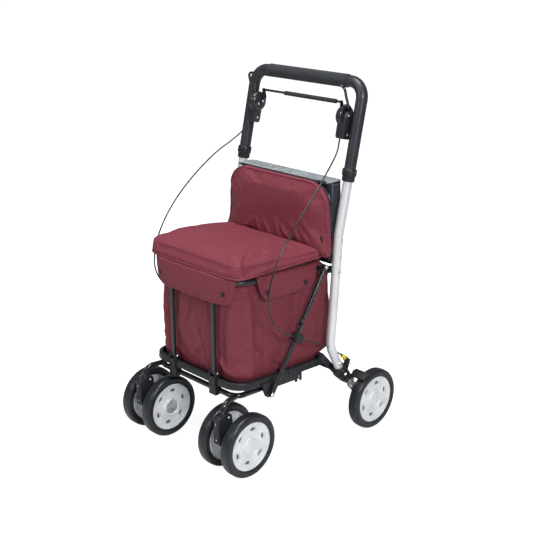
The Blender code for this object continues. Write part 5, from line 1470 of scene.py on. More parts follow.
def make_controls():
    outline = [(0.139, 0.713), (0.1625, 0.7075), (0.1765, 0.764), (0.173, 0.77), (0.159, 0.772),
               (0.15, 0.764)]
    outline = soft_outline(outline, 0.004, 4)
    tail = [(p[0] * 0.92 + 0.158 * 0.08, p[1] * 0.9 + 0.736 * 0.1) for p in outline]
    for side, sign in SIDES:
        radius = 0.024
        profile = [
            (0, 0.0), (0.4 * radius, 0.0004), (0.62 * radius, 0.0013), (0.8 * radius, 0.0029),
            (0.92 * radius, 0.0052), (0.985 * radius, 0.008), (radius, 0.0098), (radius, 0.012),
            (0.975 * radius, 0.0124), (0.975 * radius, 0.0132), (radius, 0.0136), (radius, 0.0196),
            (0.96 * radius, 0.0205), (0, 0.0205),
        ]
        parts = [
            turned(profile, (sign * 0.128, *HOUSING_CENTRE), (sign, 0, 0), 48),
            side_slab(sign, outline, 0.134, 0.157, 0.0016),
            side_slab(sign, tail, 0.1325, 0.1578, 0.001),
            side_slab(sign, link_outline((0.163, 0.765), 0.015, BAIL_PIVOT, 0.0065), 0.141, 0.1485, 0.001),
        ]
        dress("brake_housing_shell_" + side, parts, "handle", "smooth", "black_plastic",
              ["brake_housing_" + side])
        heads = []
        for y, z, face, radius in ((0.156, 0.756, 0.1287, 0.003), (0.171, 0.76, 0.1287, 0.003),
                                   (0.1545, 0.722, 0.1325, 0.0026)):
            heads.append(side_rivet(sign, (y, z), face, radius, 0.0016, inward=True))
        for y, z in ((0.16, 0.763), (0.155, 0.72)):
            heads.append(side_rivet(sign, (y, z), 0.157, 0.0034, 0.0018))
        dress("housing_rivets_" + side, heads, "handle", "cap", "zinc_steel")
    x = 0.1535
    path = [(x, *BAIL_PIVOT), (x, *BAIL_ELBOW), (x, *BAIL_BAR), (-x, *BAIL_BAR), (-x, *BAIL_ELBOW),
            (-x, *BAIL_PIVOT)]
    parts = [tube([path[0]] + rounded(path[1:-1], 0.04, 14) + [path[-1]], 0.003, 20)]
    bar = [rod((-0.124, *PARKING_BAR), (0.124, *PARKING_BAR), 0.0028, 20)]
    cranks = []
    crank = link_outline(PARKING_PIVOT, 0.006, PARKING_BAR, 0.0042)
    for side, sign in SIDES:
        parts.append(side_rod(sign, BAIL_PIVOT, 0.1505, 0.1565, 0.005, 24))
        parts.append(side_rod(sign, BAIL_PIVOT, 0.144, 0.154, 0.0023, 18))
        cranks.append(side_slab(sign, crank, 0.1237, 0.1268, 0.0006))
        cranks.append(side_rod(sign, PARKING_PIVOT, 0.125, 0.137, 0.003, 20))
        cranks.append(side_rivet(sign, PARKING_PIVOT, 0.1238, 0.003, 0.0014, inward=True))
    dress("brake_bail_wire", parts, "brake_bail", "gloss", "black_powder_coat", ["brake_bail"])
    dress("parking_bar_rod", bar, "parking_bar", "gloss", "black_powder_coat", ["parking_bar"])
    dress("parking_bar_cranks", cranks, "parking_bar", "dark_steel", "black_powder_coat")
    low, high, skin_radius = -0.054, 0.11, 0.0052
    profile = [(0.0026, low), (skin_radius - 0.001, low), (skin_radius - 0.0002, low + 0.0007),
               (skin_radius, low + 0.002)]
    profile += [(skin_radius, low + 0.002 + (high - low - 0.004) * s / 20) for s in range(1, 20)]
    profile += [(skin_radius, high - 0.002), (skin_radius - 0.0002, high - 0.0007),
                (skin_radius - 0.001, high), (0.0026, high)]
    dress("parking_bar_sleeve", turned(profile, (0, *PARKING_BAR), (1, 0, 0), 32, closed=True), "parking_bar",
          "foam", "grip_foam", ["parking_sleeve"])


class ROLLATOR_OT_controls(bpy.types.Operator):
    """The brake housings, the wire bail and the parking bar with its foam sleeve"""
    bl_idname = "rollator.controls"
    bl_label = "Brake controls"

    def execute(self, context):
        make_controls()
        return {"FINISHED"}


# Cloth pieces

CLOTH_FRAMES = 20


def settled(piece):
    """The object's mesh with its modifiers applied."""
    bpy.context.view_layer.update()
    return bpy.data.meshes.new_from_object(piece.evaluated_get(bpy.context.evaluated_depsgraph_get()))


def plump(mesh, voxel, cap, held, pressure=4.0):
    """The mesh as cloth blown up from inside: held points stay, and no point moves further than the cap."""
    scene = bpy.context.scene
    piece = bpy.data.objects.new("blown", mesh)
    scene.collection.objects.link(piece)
    remesh = piece.modifiers.new("remesh", "REMESH")
    remesh.mode = "VOXEL"
    remesh.voxel_size = voxel
    bm = bmesh.new()
    bm.from_mesh(settled(piece))
    for _ in range(4):
        bmesh.ops.smooth_vert(bm, verts=bm.verts, factor=0.5, use_axis_x=True, use_axis_y=True,
                              use_axis_z=True)
    start = bpy.data.meshes.new("start")
    bm.to_mesh(start)
    bm.free()
    piece.modifiers.clear()
    piece.data = start
    group = piece.vertex_groups.new(name="held")
    group.add([v.index for v in start.vertices if held(v.co)], 1.0, "REPLACE")
    cloth = piece.modifiers.new("cloth", "CLOTH")
    cloth.settings.quality = 6
    cloth.settings.mass = 0.3
    cloth.settings.use_pressure = True
    cloth.settings.uniform_pressure_force = pressure
    cloth.settings.effector_weights.gravity = 0.0
    cloth.settings.vertex_group_mass = "held"
    cloth.point_cache.frame_start = 1
    cloth.point_cache.frame_end = CLOTH_FRAMES
    for step in range(1, CLOTH_FRAMES + 1):
        scene.frame_set(step)
    blown = settled(piece)
    for before, after in zip(start.vertices, blown.vertices):
        move = after.co - before.co
        if move.length > cap:
            after.co = before.co + move * (cap / move.length)
    piece.modifiers.clear()
    piece.data = blown
    scene.frame_set(1)
    finer = piece.modifiers.new("finer", "SUBSURF")
    finer.levels = finer.render_levels = 1
    made = settled(piece)
    bpy.data.objects.remove(piece)
    return made


def moved(mesh, shift):
    """Moves each point of the mesh by shift(point, normal)."""
    mesh.update()
    normals = [Vector(n.vector) for n in mesh.vertex_normals]
    for vertex, normal in zip(mesh.vertices, normals):
        vertex.co = vertex.co + shift(vertex.co.copy(), normal)
    mesh.update()
    return mesh


def laid_on(mesh, points, lift):
    """The points dropped onto the mesh's nearest surface and lifted a little."""
    tree = BVHTree.FromPolygons([v.co for v in mesh.vertices], [p.vertices for p in mesh.polygons])
    laid = []
    for point in points:
        place, normal, _, _ = tree.find_nearest(Vector(point))
        laid.append(place + normal * lift)
    return laid


def stitches(path, length, radius=0.00042):
    """Short thread stitches along a path."""
    parts, run, dash = [], 0.0, []
    for before, after in zip(path, path[1:]):
        pieces = max(1, int((after - before).length / 0.0011))
        for piece in range(pieces):
            place = before.lerp(after, piece / pieces)
            run += (after - before).length / pieces
            if run % (1.6 * length) < length:
                dash.append(place)
            elif len(dash) > 1:
                parts.append(tube(dash, radius, 5))
                dash = []
            else:
                dash = []
    return parts


def ripple(place, scale, seed=0.0):
    return noise.noise(Vector((place[0] * scale[0] + seed, place[1] * scale[1] - seed,
                               place[2] * scale[2] + 0.37 * seed)))


def fold(distance, width):
    """Height of a rounded fold at a distance from its line."""
    return math.exp(-(distance / width) ** 2)


def crease(a, b, creases):
    """Summed height of fold lines (start, end, height, width) at a place on a panel."""
    total = 0.0
    place = Vector((a, b))
    for start, end, height, width in creases:
        first, last = Vector(start), Vector(end)
        along = last - first
        share = max(0.0, min(1.0, (place - first).dot(along) / along.length_squared))
        nearest = first + along * share
        total += height * fold((place - nearest).length,
                               width) * (0.35 + 0.65 * math.sin(math.pi * min(1.0, share * 0.9 + 0.08)))
    return total


def make_seat(scene):
    sizes = scene.rollator_sizes
    half, low_y, high_y = 0.155, -0.191, 0.087

    def under(y):
        return 0.454 - 0.01 * (y - low_y) / (high_y - low_y)

    def top(y):
        return 0.4915 - 0.0215 * (y - low_y) / (high_y - low_y)

    def loop(inset):
        return inset_outline(inset, half, low_y, high_y, 0.026, 0.01, steps=8, runs=(20, 24))

    levels = (
        (0.0165, lambda y: ring_z(y) + 0.0137), (0.014, lambda y: ring_z(y) + 0.0142),
        (0.005, lambda y: under(y) + 0.0006), (0.0022, lambda y: under(y) + 0.0024),
        (0.004, lambda y: under(y) + 0.006), (0.0046, lambda y: 0.5 * under(y) + 0.5 * top(y)),
        (0.0052, lambda y: top(y) - 0.007), (0.008, lambda y: top(y) - 0.0022),
        (0.0135, lambda y: top(y) + 0.0004), (0.026, lambda y: top(y) + 0.0024),
        (0.046, lambda y: top(y) + 0.0044), (0.07, lambda y: top(y) + 0.006),
        (0.1, lambda y: top(y) + 0.0068),
    )
    rings = []
    for inset, height in levels:
        ring = []
        for x, y in loop(inset):
            share = (y - low_y) / (high_y - low_y)
            hump = ((0.0464 - 0.0544 * share) * share * (half - x) / (2 * half)
                    - 0.004 * share * (half + x) / (2 * half))
            z = height(y)
            ring.append((x, y, z + hump * max(0.0, z - under(y)) / (top(y) - under(y))))
        rings.append(ring)
    cushion = plump(join_parts("seat", skin(rings)), 0.005, 0.006, lambda p: p.z < under(p.y) + 0.0035)

    def worn(place, normal):
        height = 0.0011 * ripple(place, (16, 16, 16), 3.1) + 0.0006 * ripple(place, (42, 30, 42), 7.7)
        if place.z > under(place.y) + 0.004:
            height += crease(place.x, place.y, (
                ((0.06, 0.055), (0.11, -0.01), 0.0014, 0.01), ((0.12, 0.05), (0.14, -0.06), -0.0012, 0.009),
                ((-0.06, 0.05), (-0.1, -0.02), 0.0012, 0.01), ((-0.02, -0.17), (0.04, -0.12), 0.001, 0.012),
            ))
            return normal * height
        return Vector()

    moved(cushion, worn)
    piece = dress("seat_cushion_pad", cushion, "seat_lid", "cloth", "burgundy_fabric", ["seat_cushion"], 180)
    edge = laid_on(cushion, [Vector((x, y, under(y) + 0.0012)) for x, y in loop(0.0012)], 0.0006)
    seam = [Vector((x, y, top(y) - 0.003)) for x, y in loop(0.004)]
    seam = laid_on(cushion, seam, 0.0002)
    piping = tube(edge, sizes.piping, 14, closed=True)
    welt = tube(seam, 0.001, 10, closed=True)
    trim = dress("seat_piping", [piping, welt], "seat_lid", "piping", "burgundy_fabric")
    line = laid_on(cushion, [Vector((x, y, under(y) + 0.0068)) for x, y in loop(0.002)], 0.0002)
    thread = dress("seat_stitches", stitches(line + line[:1], sizes.stitch), "seat_lid", "thread",
                   "burgundy_fabric")
    for item in (piece, trim, thread):
        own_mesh(item)
    refinish("seat_board", "nylon")


class ROLLATOR_OT_seat(bpy.types.Operator):
    """The seat cushion, swollen as cloth, with its piping and seams, on the seat board"""
    bl_idname = "rollator.seat"
    bl_label = "Seat cushion"

    def execute(self, context):
        make_seat(context.scene)
        return {"FINISHED"}


def make_backrest(scene):
    sizes = scene.rollator_sizes
    rear, front = 0.1, 0.08

    def loop(inset):
        return inset_outline(inset, 0.1665, 0.444, 0.6205, 0.008, 0.056, steps=12, runs=(14, 34))

    levels = (
        (0.008, rear), (0.003, rear - 0.003), (0.002, rear - 0.008), (0.003, front + 0.005),
        (0.008, front + 0.001), (0.018, front - 0.0016), (0.03, front - 0.0034), (0.046, front - 0.005),
        (0.062, front - 0.0058),
    )

    def skirted(x, y, z):
        """The lower edge swings forward to meet the back of the seat."""
        share = min(1.0, max(0.0, (0.52 - z) / 0.06))
        return Vector((x * (1 + 0.045 * (0.53 - z) / 0.09 * (z < 0.62)),
                       y - 0.006 * share ** 2 * (1.0 if y < rear - 0.004 else 0.35), z))

    rings = [[skirted(x, y, z) for x, z in loop(inset)] for inset, y in levels]
    cushion = plump(join_parts("back", skin(rings)), 0.0045, 0.0055, lambda p: p.y > rear - 0.0065)
    gathers = (
        ((-0.09, 0.474), (-0.06, 0.5), 0.003, 0.005), ((-0.045, 0.472), (-0.052, 0.506), 0.0026, 0.0045),
        ((-0.01, 0.473), (-0.024, 0.5), 0.0032, 0.005), ((0.022, 0.472), (0.01, 0.512), 0.0028, 0.0045),
        ((0.055, 0.473), (0.03, 0.5), 0.0034, 0.0055), ((0.09, 0.474), (0.062, 0.512), 0.0028, 0.0055),
        ((0.118, 0.476), (0.096, 0.5), 0.0026, 0.006), ((0.15, 0.478), (0.085, 0.535), 0.0022, 0.008),
        ((-0.14, 0.48), (-0.1, 0.53), 0.0018, 0.008), ((0.1, 0.59), (0.14, 0.55), 0.001, 0.01),
    )

    def worn(place, normal):
        height = 0.001 * ripple(place, (14, 14, 18), 1.3) + 0.0005 * ripple(place, (40, 40, 30), 5.9)
        if place.y < 0.09:
            height += crease(place.x, place.z, gathers)
            return normal * height
        return Vector()

    moved(cushion, worn)
    piece = dress("backrest_pad", cushion, "frame", "cloth", "burgundy_fabric", ["backrest_cushion"], 180)
    edge = laid_on(cushion, [skirted(x, front + 0.0015, z) for x, z in loop(0.0012)], 0.0006)
    trim = dress("backrest_piping", tube(edge, sizes.piping * 0.9, 14, closed=True), "frame", "piping",
                 "burgundy_fabric")
    line = laid_on(cushion, [skirted(x, front - 0.004, z) for x, z in loop(0.0075)], 0.0002)
    thread = dress("backrest_stitches", stitches(line + line[:1], sizes.stitch), "frame", "thread",
                   "burgundy_fabric")
    spot = laid_on(cushion, [Vector((0.15, 0.08, 0.493))], 0.0)[0]
    tag = block((spot.x - 0.004, spot.y - 0.0024, 0.477), (spot.x + 0.004, spot.y - 0.001, 0.497), 0.0004)
    label = dress("blank_tag", tag, "frame", "tape", "grey_fabric")
    for item in (piece, trim, thread, label):
        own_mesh(item)


class ROLLATOR_OT_backrest(bpy.types.Operator):
    """The backrest cushion with its gathered lower edge, its piping and the blank tag at its side"""
    bl_idname = "rollator.backrest"
    bl_label = "Backrest cushion"

    def execute(self, context):
        make_backrest(context.scene)
        return {"FINISHED"}


BAG_HALF = 0.131
BAG_MIDDLE_Y = -0.046
BAG_SIDE_LIMIT = 0.142
BAG_FRONT_LIMIT = -0.1805


def outward_at(base, number):
    """The outward direction at a point of a closed outline."""
    before, after = base[number - 1], base[(number + 1) % len(base)]
    return Vector((after.y - before.y, before.x - after.x)).normalized()


def tray_top(y):
    return rim_z(y) - 0.003


def make_bag():
    base = loop_outline(BAG_HALF, -0.168, 0.087, 0.034, 0.012, steps=12, runs=(80, 84))
    count = len(base)
    side_folds = (
        ((-0.14, 0.405), (-0.134, 0.215), 0.005, 0.007), ((-0.118, 0.4), (-0.112, 0.3), -0.005, 0.006),
        ((-0.1, 0.36), (-0.08, 0.3), 0.0034, 0.006), ((-0.092, 0.322), (-0.052, 0.262), 0.0052, 0.0055),
        ((-0.125, 0.3), (-0.088, 0.236), -0.005, 0.0065), ((-0.112, 0.262), (-0.06, 0.212), 0.0056, 0.006),
        ((-0.062, 0.262), (-0.018, 0.214), 0.0046, 0.005), ((-0.082, 0.236), (-0.034, 0.206), -0.0042, 0.005),
        ((-0.03, 0.3), (0.012, 0.24), 0.0036, 0.006), ((-0.006, 0.262), (0.04, 0.226), -0.0036, 0.0055),
        ((0.03, 0.26), (0.066, 0.205), 0.0044, 0.0055), ((0.052, 0.42), (0.03, 0.36), 0.0052, 0.0045),
        ((0.066, 0.422), (0.052, 0.34), -0.0054, 0.0045), ((0.082, 0.42), (0.06, 0.352), 0.006, 0.0045),
        ((0.096, 0.424), (0.078, 0.33), -0.005, 0.0045), ((0.1, 0.38), (0.086, 0.28), 0.005, 0.006),
        ((0.06, 0.33), (0.078, 0.25), 0.0036, 0.007), ((0.02, 0.4), (-0.006, 0.35), -0.003, 0.008),
    )
    front_folds = (
        ((-0.112, 0.395), (-0.104, 0.24), 0.0046, 0.007), ((-0.094, 0.33), (-0.086, 0.235), -0.004, 0.006),
        ((-0.044, 0.392), (-0.056, 0.29), 0.004, 0.007), ((-0.018, 0.38), (-0.036, 0.31), -0.0034, 0.006),
        ((0.03, 0.392), (0.048, 0.3), 0.0046, 0.0065), ((0.0, 0.33), (0.03, 0.232), -0.0042, 0.008),
        ((-0.06, 0.3), (-0.014, 0.232), 0.0042, 0.0065), ((0.11, 0.392), (0.104, 0.246), 0.0056, 0.0065),
        ((0.092, 0.33), (0.09, 0.24), -0.004, 0.006), ((0.052, 0.258), (0.11, 0.222), 0.0048, 0.006),
        ((-0.11, 0.262), (-0.06, 0.226), 0.0044, 0.0065), ((0.02, 0.262), (-0.02, 0.222), -0.0036, 0.006),
    )
    rows, inner = [], []
    steps = 76
    for step in range(steps + 1):
        share = step / steps
        row, inside = [], []
        for number, (x, y) in enumerate(base):
            out = outward_at(base, number)
            low, high = tray_top(y) + 0.0006, ring_z(y) + 0.0086
            z = low + (high - low) * share
            backing = max(0.0, (y - BAG_MIDDLE_Y) / 0.133) ** 2
            rise = min(1.0, max(0.0, (z - 0.1925) / 0.02))
            fall = min(1.0, max(0.0, (0.432 - z) / 0.034))
            leant = y + backing * (0.0115 * share + 0.032 * rise * rise * (3 - 2 * rise) * fall
                                   * (1.15 - 0.35 * share))
            belly = math.sin(math.pi * min(1.0, max(0.0, 0.04 + 0.96 * share)) ** 0.8)
            facing_front = abs(out.y) > 0.7
            run = 1 - (abs(x) / BAG_HALF if facing_front else (y - BAG_MIDDLE_Y) / 0.13) ** 2
            swell = belly * (0.0022 + 0.0058 * max(0.0, run))
            foot = math.exp(-((share - 0.11) / 0.07) ** 2)
            swell += 0.006 * foot * math.exp(-(((abs(x) - 0.121) / 0.03) ** 2 + ((y + 0.158) / 0.03) ** 2))
            if facing_front and out.y < 0:
                swell += 0.004 * belly * (1 - fold(abs(x) - STRUT_X, 0.012)) + 1.4 * crease(x, z, front_folds)
            elif not facing_front or abs(out.x) > 0.3:
                swell += 1.6 * crease(y if x > 0 else y + 0.012, z, side_folds)
            swell += (0.003 * ripple((x, y, z), (30, 30, 11), 4.4)
                      + 0.0013 * ripple((x, y, z), (66, 66, 46), 9.1))
            tucked = min(1.0, share / 0.03)
            swell *= min(1.0, share / 0.05) * min(1.0, (1 - share) / 0.06)
            place = (Vector((x * (1 + 0.055 * backing * rise * fall), leant))
                     + out * (swell - 0.007 * (1 - tucked) ** 2))
            place.x = max(-BAG_SIDE_LIMIT, min(BAG_SIDE_LIMIT, place.x))
            place.y = max(BAG_FRONT_LIMIT + 0.0015 * fold(abs(place.x) - STRUT_X, 0.012), place.y)
            row.append(Vector((place.x, place.y, z)))
            drawn = place - out * 0.0018
            inside.append(Vector((drawn.x, drawn.y, max(z, low + 0.002))))
        rows.append(row)
        inner.append(inside)
    bag = dress("bag_shell", skin(rows + inner[:0:-1]), "seat_ring", "cloth", "burgundy_fabric", ["bag"], 70)
    trims = [tube(rows[3], 0.001, 8, closed=True)]
    for sign in (1.0, -1.0):
        number = min(range(count), key=lambda i: (base[i] - Vector((sign * BAG_HALF, 0.082))).length)
        trims.append(tube([row[number] for row in rows[1:steps]], 0.0011, 8))
    trim = dress("bag_seams", trims, "seat_ring", "piping", "burgundy_fabric")
    for item in (bag, trim):
        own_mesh(item)


class ROLLATOR_OT_bag(bpy.types.Operator):
    """The shopping bag under the seat: slack walls with folds, a puffed foot and seams"""
    bl_idname = "rollator.bag"
    bl_label = "Bag"

    def execute(self, context):
        make_bag()
        return {"FINISHED"}


def flap_rings(rows, thickness, inward):
    """Closed rings round a hanging sheet, from rows of outer points."""
    rings = []
    for row, inner in zip(rows, inward):
        rings.append(row + [place + inner * thickness for place in reversed(row)])
    return rings


def snap_stud(centre, axis):
    """A dark press stud with a raised rim."""
    profile = [(0, -0.001), (0.0052, -0.001), (0.0058, 0.0004), (0.0056, 0.0014), (0.0047, 0.002),
               (0.004, 0.0014), (0.0033, 0.0012), (0.0024, 0.0019), (0.0012, 0.0022), (0, 0.0022)]
    return turned(profile, centre, axis, 32)


def make_flaps(scene):
    sizes = scene.rollator_sizes
    studs, hems, threads = [], [], []

    def flap(name, wide, narrow, top_z, low_z, radius, over, face, spread):
        """over lists (reach, z) across the ring; face places a point; spread bows the flap out."""
        rows, inward = [], []
        columns, drop = 48, len(over)
        inner_way = (face(0, -1, 0) - face(0, 0, 0)).normalized()
        total = drop + 26
        for step in range(total + 1):
            if step < drop:
                reach, z = over[step]
                share, edge = 0.0, True
            else:
                share = (step - drop) / (total - drop)
                eased = share if share < 0.8 else 0.8 + 0.2 * math.sin((share - 0.8) / 0.2 * math.pi / 2)
                z = top_z + (low_z - top_z) * eased
                reach = spread * math.sin(math.pi * 0.6 * share)
                edge = z - low_z > radius
            low_a = wide[0] + (narrow[0] - wide[0]) * share
            high_a = wide[1] + (narrow[1] - wide[1]) * share
            cut_in = 0.0
            if not edge:
                cut_in = radius - math.sqrt(max(0.0, radius ** 2 - (radius - (z - low_z)) ** 2))
            row = []
            for number in range(columns + 1):
                part = number / columns
                if step >= drop:
                    part = 0.5 * (0.5 - 0.5 * math.cos(math.pi * number / columns)) + 0.5 * number / columns
                a = low_a + cut_in + (high_a - low_a - 2 * cut_in) * part
                wave = 0.0016 * share * ripple((a, z, 0), (34, 18, 1),
                                               6.3) + 0.0012 * share ** 2 * math.sin(a * 58 + 1.2)
                row.append(face(a, reach + wave, z))
            rows.append(row)
            inward.append(inner_way if step >= drop else Vector((0, 0, -1)))
        piece = dress(name, skin(flap_rings(rows, 0.0022, inward)), "seat_ring", "cloth", "burgundy_fabric",
                      smooth=60)
        side_run = ([row[0] for row in rows[drop - 1:]] + rows[-1][1:-1]
                    + [row[-1] for row in reversed(rows[drop - 1:])])
        hems.append(tube([p - inner_way * -0.0008 for p in side_run], 0.0015, 10))
        inner_run = ([row[3] for row in rows[drop:-3]] + rows[-4][4:-4]
                     + [row[-4] for row in reversed(rows[drop:-3])])
        threads.extend(stitches([p - inner_way * 0.0002 for p in inner_run], sizes.stitch))
        return piece

    pieces = []
    over = [(-0.0225, 0.4533), (-0.018, 0.4545), (-0.013, 0.4551), (-0.007, 0.4552), (-0.003, 0.4541),
            (-0.0008, 0.452)]

    def round_front(a, reach, z):
        corner_x, corner_y, corner = 0.0945, 0.1377, 0.0545
        past = max(0.0, abs(a) - corner_x)
        tuck = 0.01 * min(1.0, max(0.0, (abs(a) - 0.075) / 0.03)) * max(0.0, (0.45 - z) / 0.06)
        return Vector((a, tuck - corner_y - math.sqrt(max(0.0, corner ** 2 - past ** 2)) - reach, z))

    pieces.append(flap("front_flap", (-0.134, 0.134), (-0.122, 0.122), 0.45, 0.392, 0.02, over, round_front,
                       0.003))
    for x in (-0.106, 0.106):
        studs.append(snap_stud(round_front(x, 0.0034, 0.4165), (0, -1, 0)))
    for side, sign in SIDES:
        def face(a, reach, z, sign=sign):
            tilt = 0.0 if z == 0 else RING_SLOPE * (-0.03 - a)
            return Vector((sign * (0.1486 + reach), a, z + tilt * (1.0 if z > 0.43 else 0.35)))

        over = [(-0.017, 0.4418), (-0.012, 0.4424), (-0.006, 0.4422), (-0.002, 0.4408), (-0.0004, 0.439)]
        pieces.append(flap("side_flap_" + side, (-0.124, 0.064), (-0.108, 0.052), 0.437, 0.388, 0.022, over,
                           face, 0.0028))
        for y, z in ((-0.098, 0.408), (0.025, 0.4005)):
            studs.append(snap_stud((sign * 0.1519, y, z), (sign, 0, 0)))
    pieces.append(dress("flap_hems", hems, "seat_ring", "piping", "burgundy_fabric"))
    pieces.append(dress("flap_stitches", threads, "seat_ring", "thread", "burgundy_fabric"))
    pieces.append(dress("flap_studs", studs, "seat_ring", "dark_steel", "black_plastic"))
    for item in pieces:
        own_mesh(item)


class ROLLATOR_OT_flaps(bpy.types.Operator):
    """The bag's flaps over the seat ring, with bound edges, stitches and press studs"""
    bl_idname = "rollator.flaps"
    bl_label = "Bag flaps"

    def execute(self, context):
        make_flaps(context.scene)
        return {"FINISHED"}


def make_pocket():
    half, low_z, high_z = 0.149, 0.418, 0.612
    base = loop_outline(half, 0.115, 0.15, 0.004, 0.014, steps=8, runs=(16, 60))
    count, steps = len(base), 40
    rows, inner = [], []
    for step in range(steps + 1):
        share = step / steps
        z = low_z + (high_z - low_z) * share
        row, inside = [], []
        for number, place in enumerate(base):
            out = outward_at(base, number)
            narrow = 0.003 * (1 - min(1.0, share / 0.45))
            foot = 0.005 * max(0.0, 1 - share / 0.04) ** 2
            swell = 0.0
            if out.y > 0.7:
                swell = 0.0055 * math.sin(math.pi * share ** 0.8) * max(0.0, 1 - (place.x / half) ** 2) ** 0.6
                swell += 0.0014 * ripple((place.x, 0, z), (22, 1, 16), 3.3)
            elif abs(out.x) > 0.7:
                swell = (-0.0022 * math.sin(math.pi * share)
                         + 0.001 * ripple((place.x, place.y, z), (30, 30, 26), 1.9))
            spot = place + out * (swell - narrow - foot)
            spot.y = max(0.1148, spot.y)
            row.append(Vector((spot.x, spot.y, z)))
            drawn = spot - out * 0.0022
            inside.append(Vector((drawn.x, drawn.y, max(z, 0.4205))))
        rows.append(row)
        inner.append(inside)
    dress("rear_pocket_shell", skin(rows + inner[:0:-1]), "frame", "gusset", "grey_fabric", ["rear_pocket"],
          60)
    lines = []
    for target in ((half, 0.116), (0.146, 0.148), (-half, 0.116), (-0.146, 0.148)):
        number = min(range(count), key=lambda i: (base[i] - Vector(target)).length)
        lines.append(tube([rows[s][number] for s in range(1, steps + 1)], 0.0013, 10))
    lines.append(tube([p + Vector((0, 0, -0.0036)) for p in rows[-1]], 0.0011, 10, closed=True))
    dress("pocket_piping", lines, "frame", "edging", "grey_fabric")

    def lid_loop(inset):
        return inset_outline(inset, 0.1495, 0.1012, 0.1506, 0.01, 0.014, steps=8, runs=(16, 70))

    def crumpled(x, y):
        return (0.0016 * abs(ripple((x, y, 0), (55, 70, 1), 2.7))
                + 0.0009 * ripple((x, y, 0), (120, 150, 1), 6.1))

    rings = [[(x, y, 0.6129) for x, y in lid_loop(0.0006)], [(x, y, 0.6136) for x, y in lid_loop(0.0)]]
    for inset, z in ((0.0, 0.615), (0.0008, 0.6157)):
        rings.append([(x, y, z) for x, y in lid_loop(inset)])
    for number in range(1, 9):
        inset = 0.0008 + 0.0026 * number
        rings.append([(x, y, 0.6157 + crumpled(x, y) * min(1.0, number / 3)) for x, y in lid_loop(inset)])
    dress("pocket_lid_sheet", skin(rings), "pocket_lid", "lid", "silver_fabric", ["pocket_lid"], 50)
    edge = [Vector((x, y, 0.6145)) for x, y in lid_loop(0.0002)]
    tape = block((-0.14, 0.1014, 0.6153), (0.14, 0.1072, 0.6164), 0.0003)
    trims = [tube(edge, 0.0014, 10, closed=True), tape]
    dress("lid_binding", trims, "pocket_lid", "tape", "grey_fabric")
    teeth = []
    for number in range(112):
        x = -0.1385 + number * 0.0025
        y = 0.104 + (0.0005 if number % 2 else -0.0005)
        teeth.append(block((x - 0.0008, y - 0.0014, 0.6161), (x + 0.0008, y + 0.0014, 0.6171), 0.0002))
    puller = [block((0.133, 0.1018, 0.6163), (0.14, 0.1064, 0.6185), 0.0008),
              block((0.118, 0.1028, 0.6178), (0.1345, 0.1052, 0.6187), 0.0004)]
    dress("zip_teeth", [*teeth, *puller], "pocket_lid", "dark_steel", "black_plastic")


class ROLLATOR_OT_pocket(bpy.types.Operator):
    """The rear pocket, its crinkled silver lid, light piping and zip"""
    bl_idname = "rollator.pocket"
    bl_label = "Rear pocket"

    def execute(self, context):
        make_pocket()
        return {"FINISHED"}


# Stage, panel and registration

AZIMUTH, ELEVATION, ROLL = math.radians(45.4018), math.radians(19.4781), math.radians(-0.5246)
EYE = Vector((1.6234, -1.5506, 1.2006))
LENS = 68.13
FLOOR_GREY = 0.72
FLOOR_GLOW = 0.86
WORLD_LIGHT = 0.2


def area_lamp(name, place, aim, width, height, power, colour=(1, 1, 1)):
    data = bpy.data.lights.new(name, "AREA")
    data.shape = "RECTANGLE"
    data.size, data.size_y = width, height
    data.energy = power
    data.color = colour
    lamp = bpy.data.objects.new(name, data)
    bpy.context.scene.collection.objects.link(lamp)
    lamp.location = place
    lamp.rotation_euler = (Vector(aim) - Vector(place)).to_track_quat("-Z", "Y").to_euler()
    return lamp


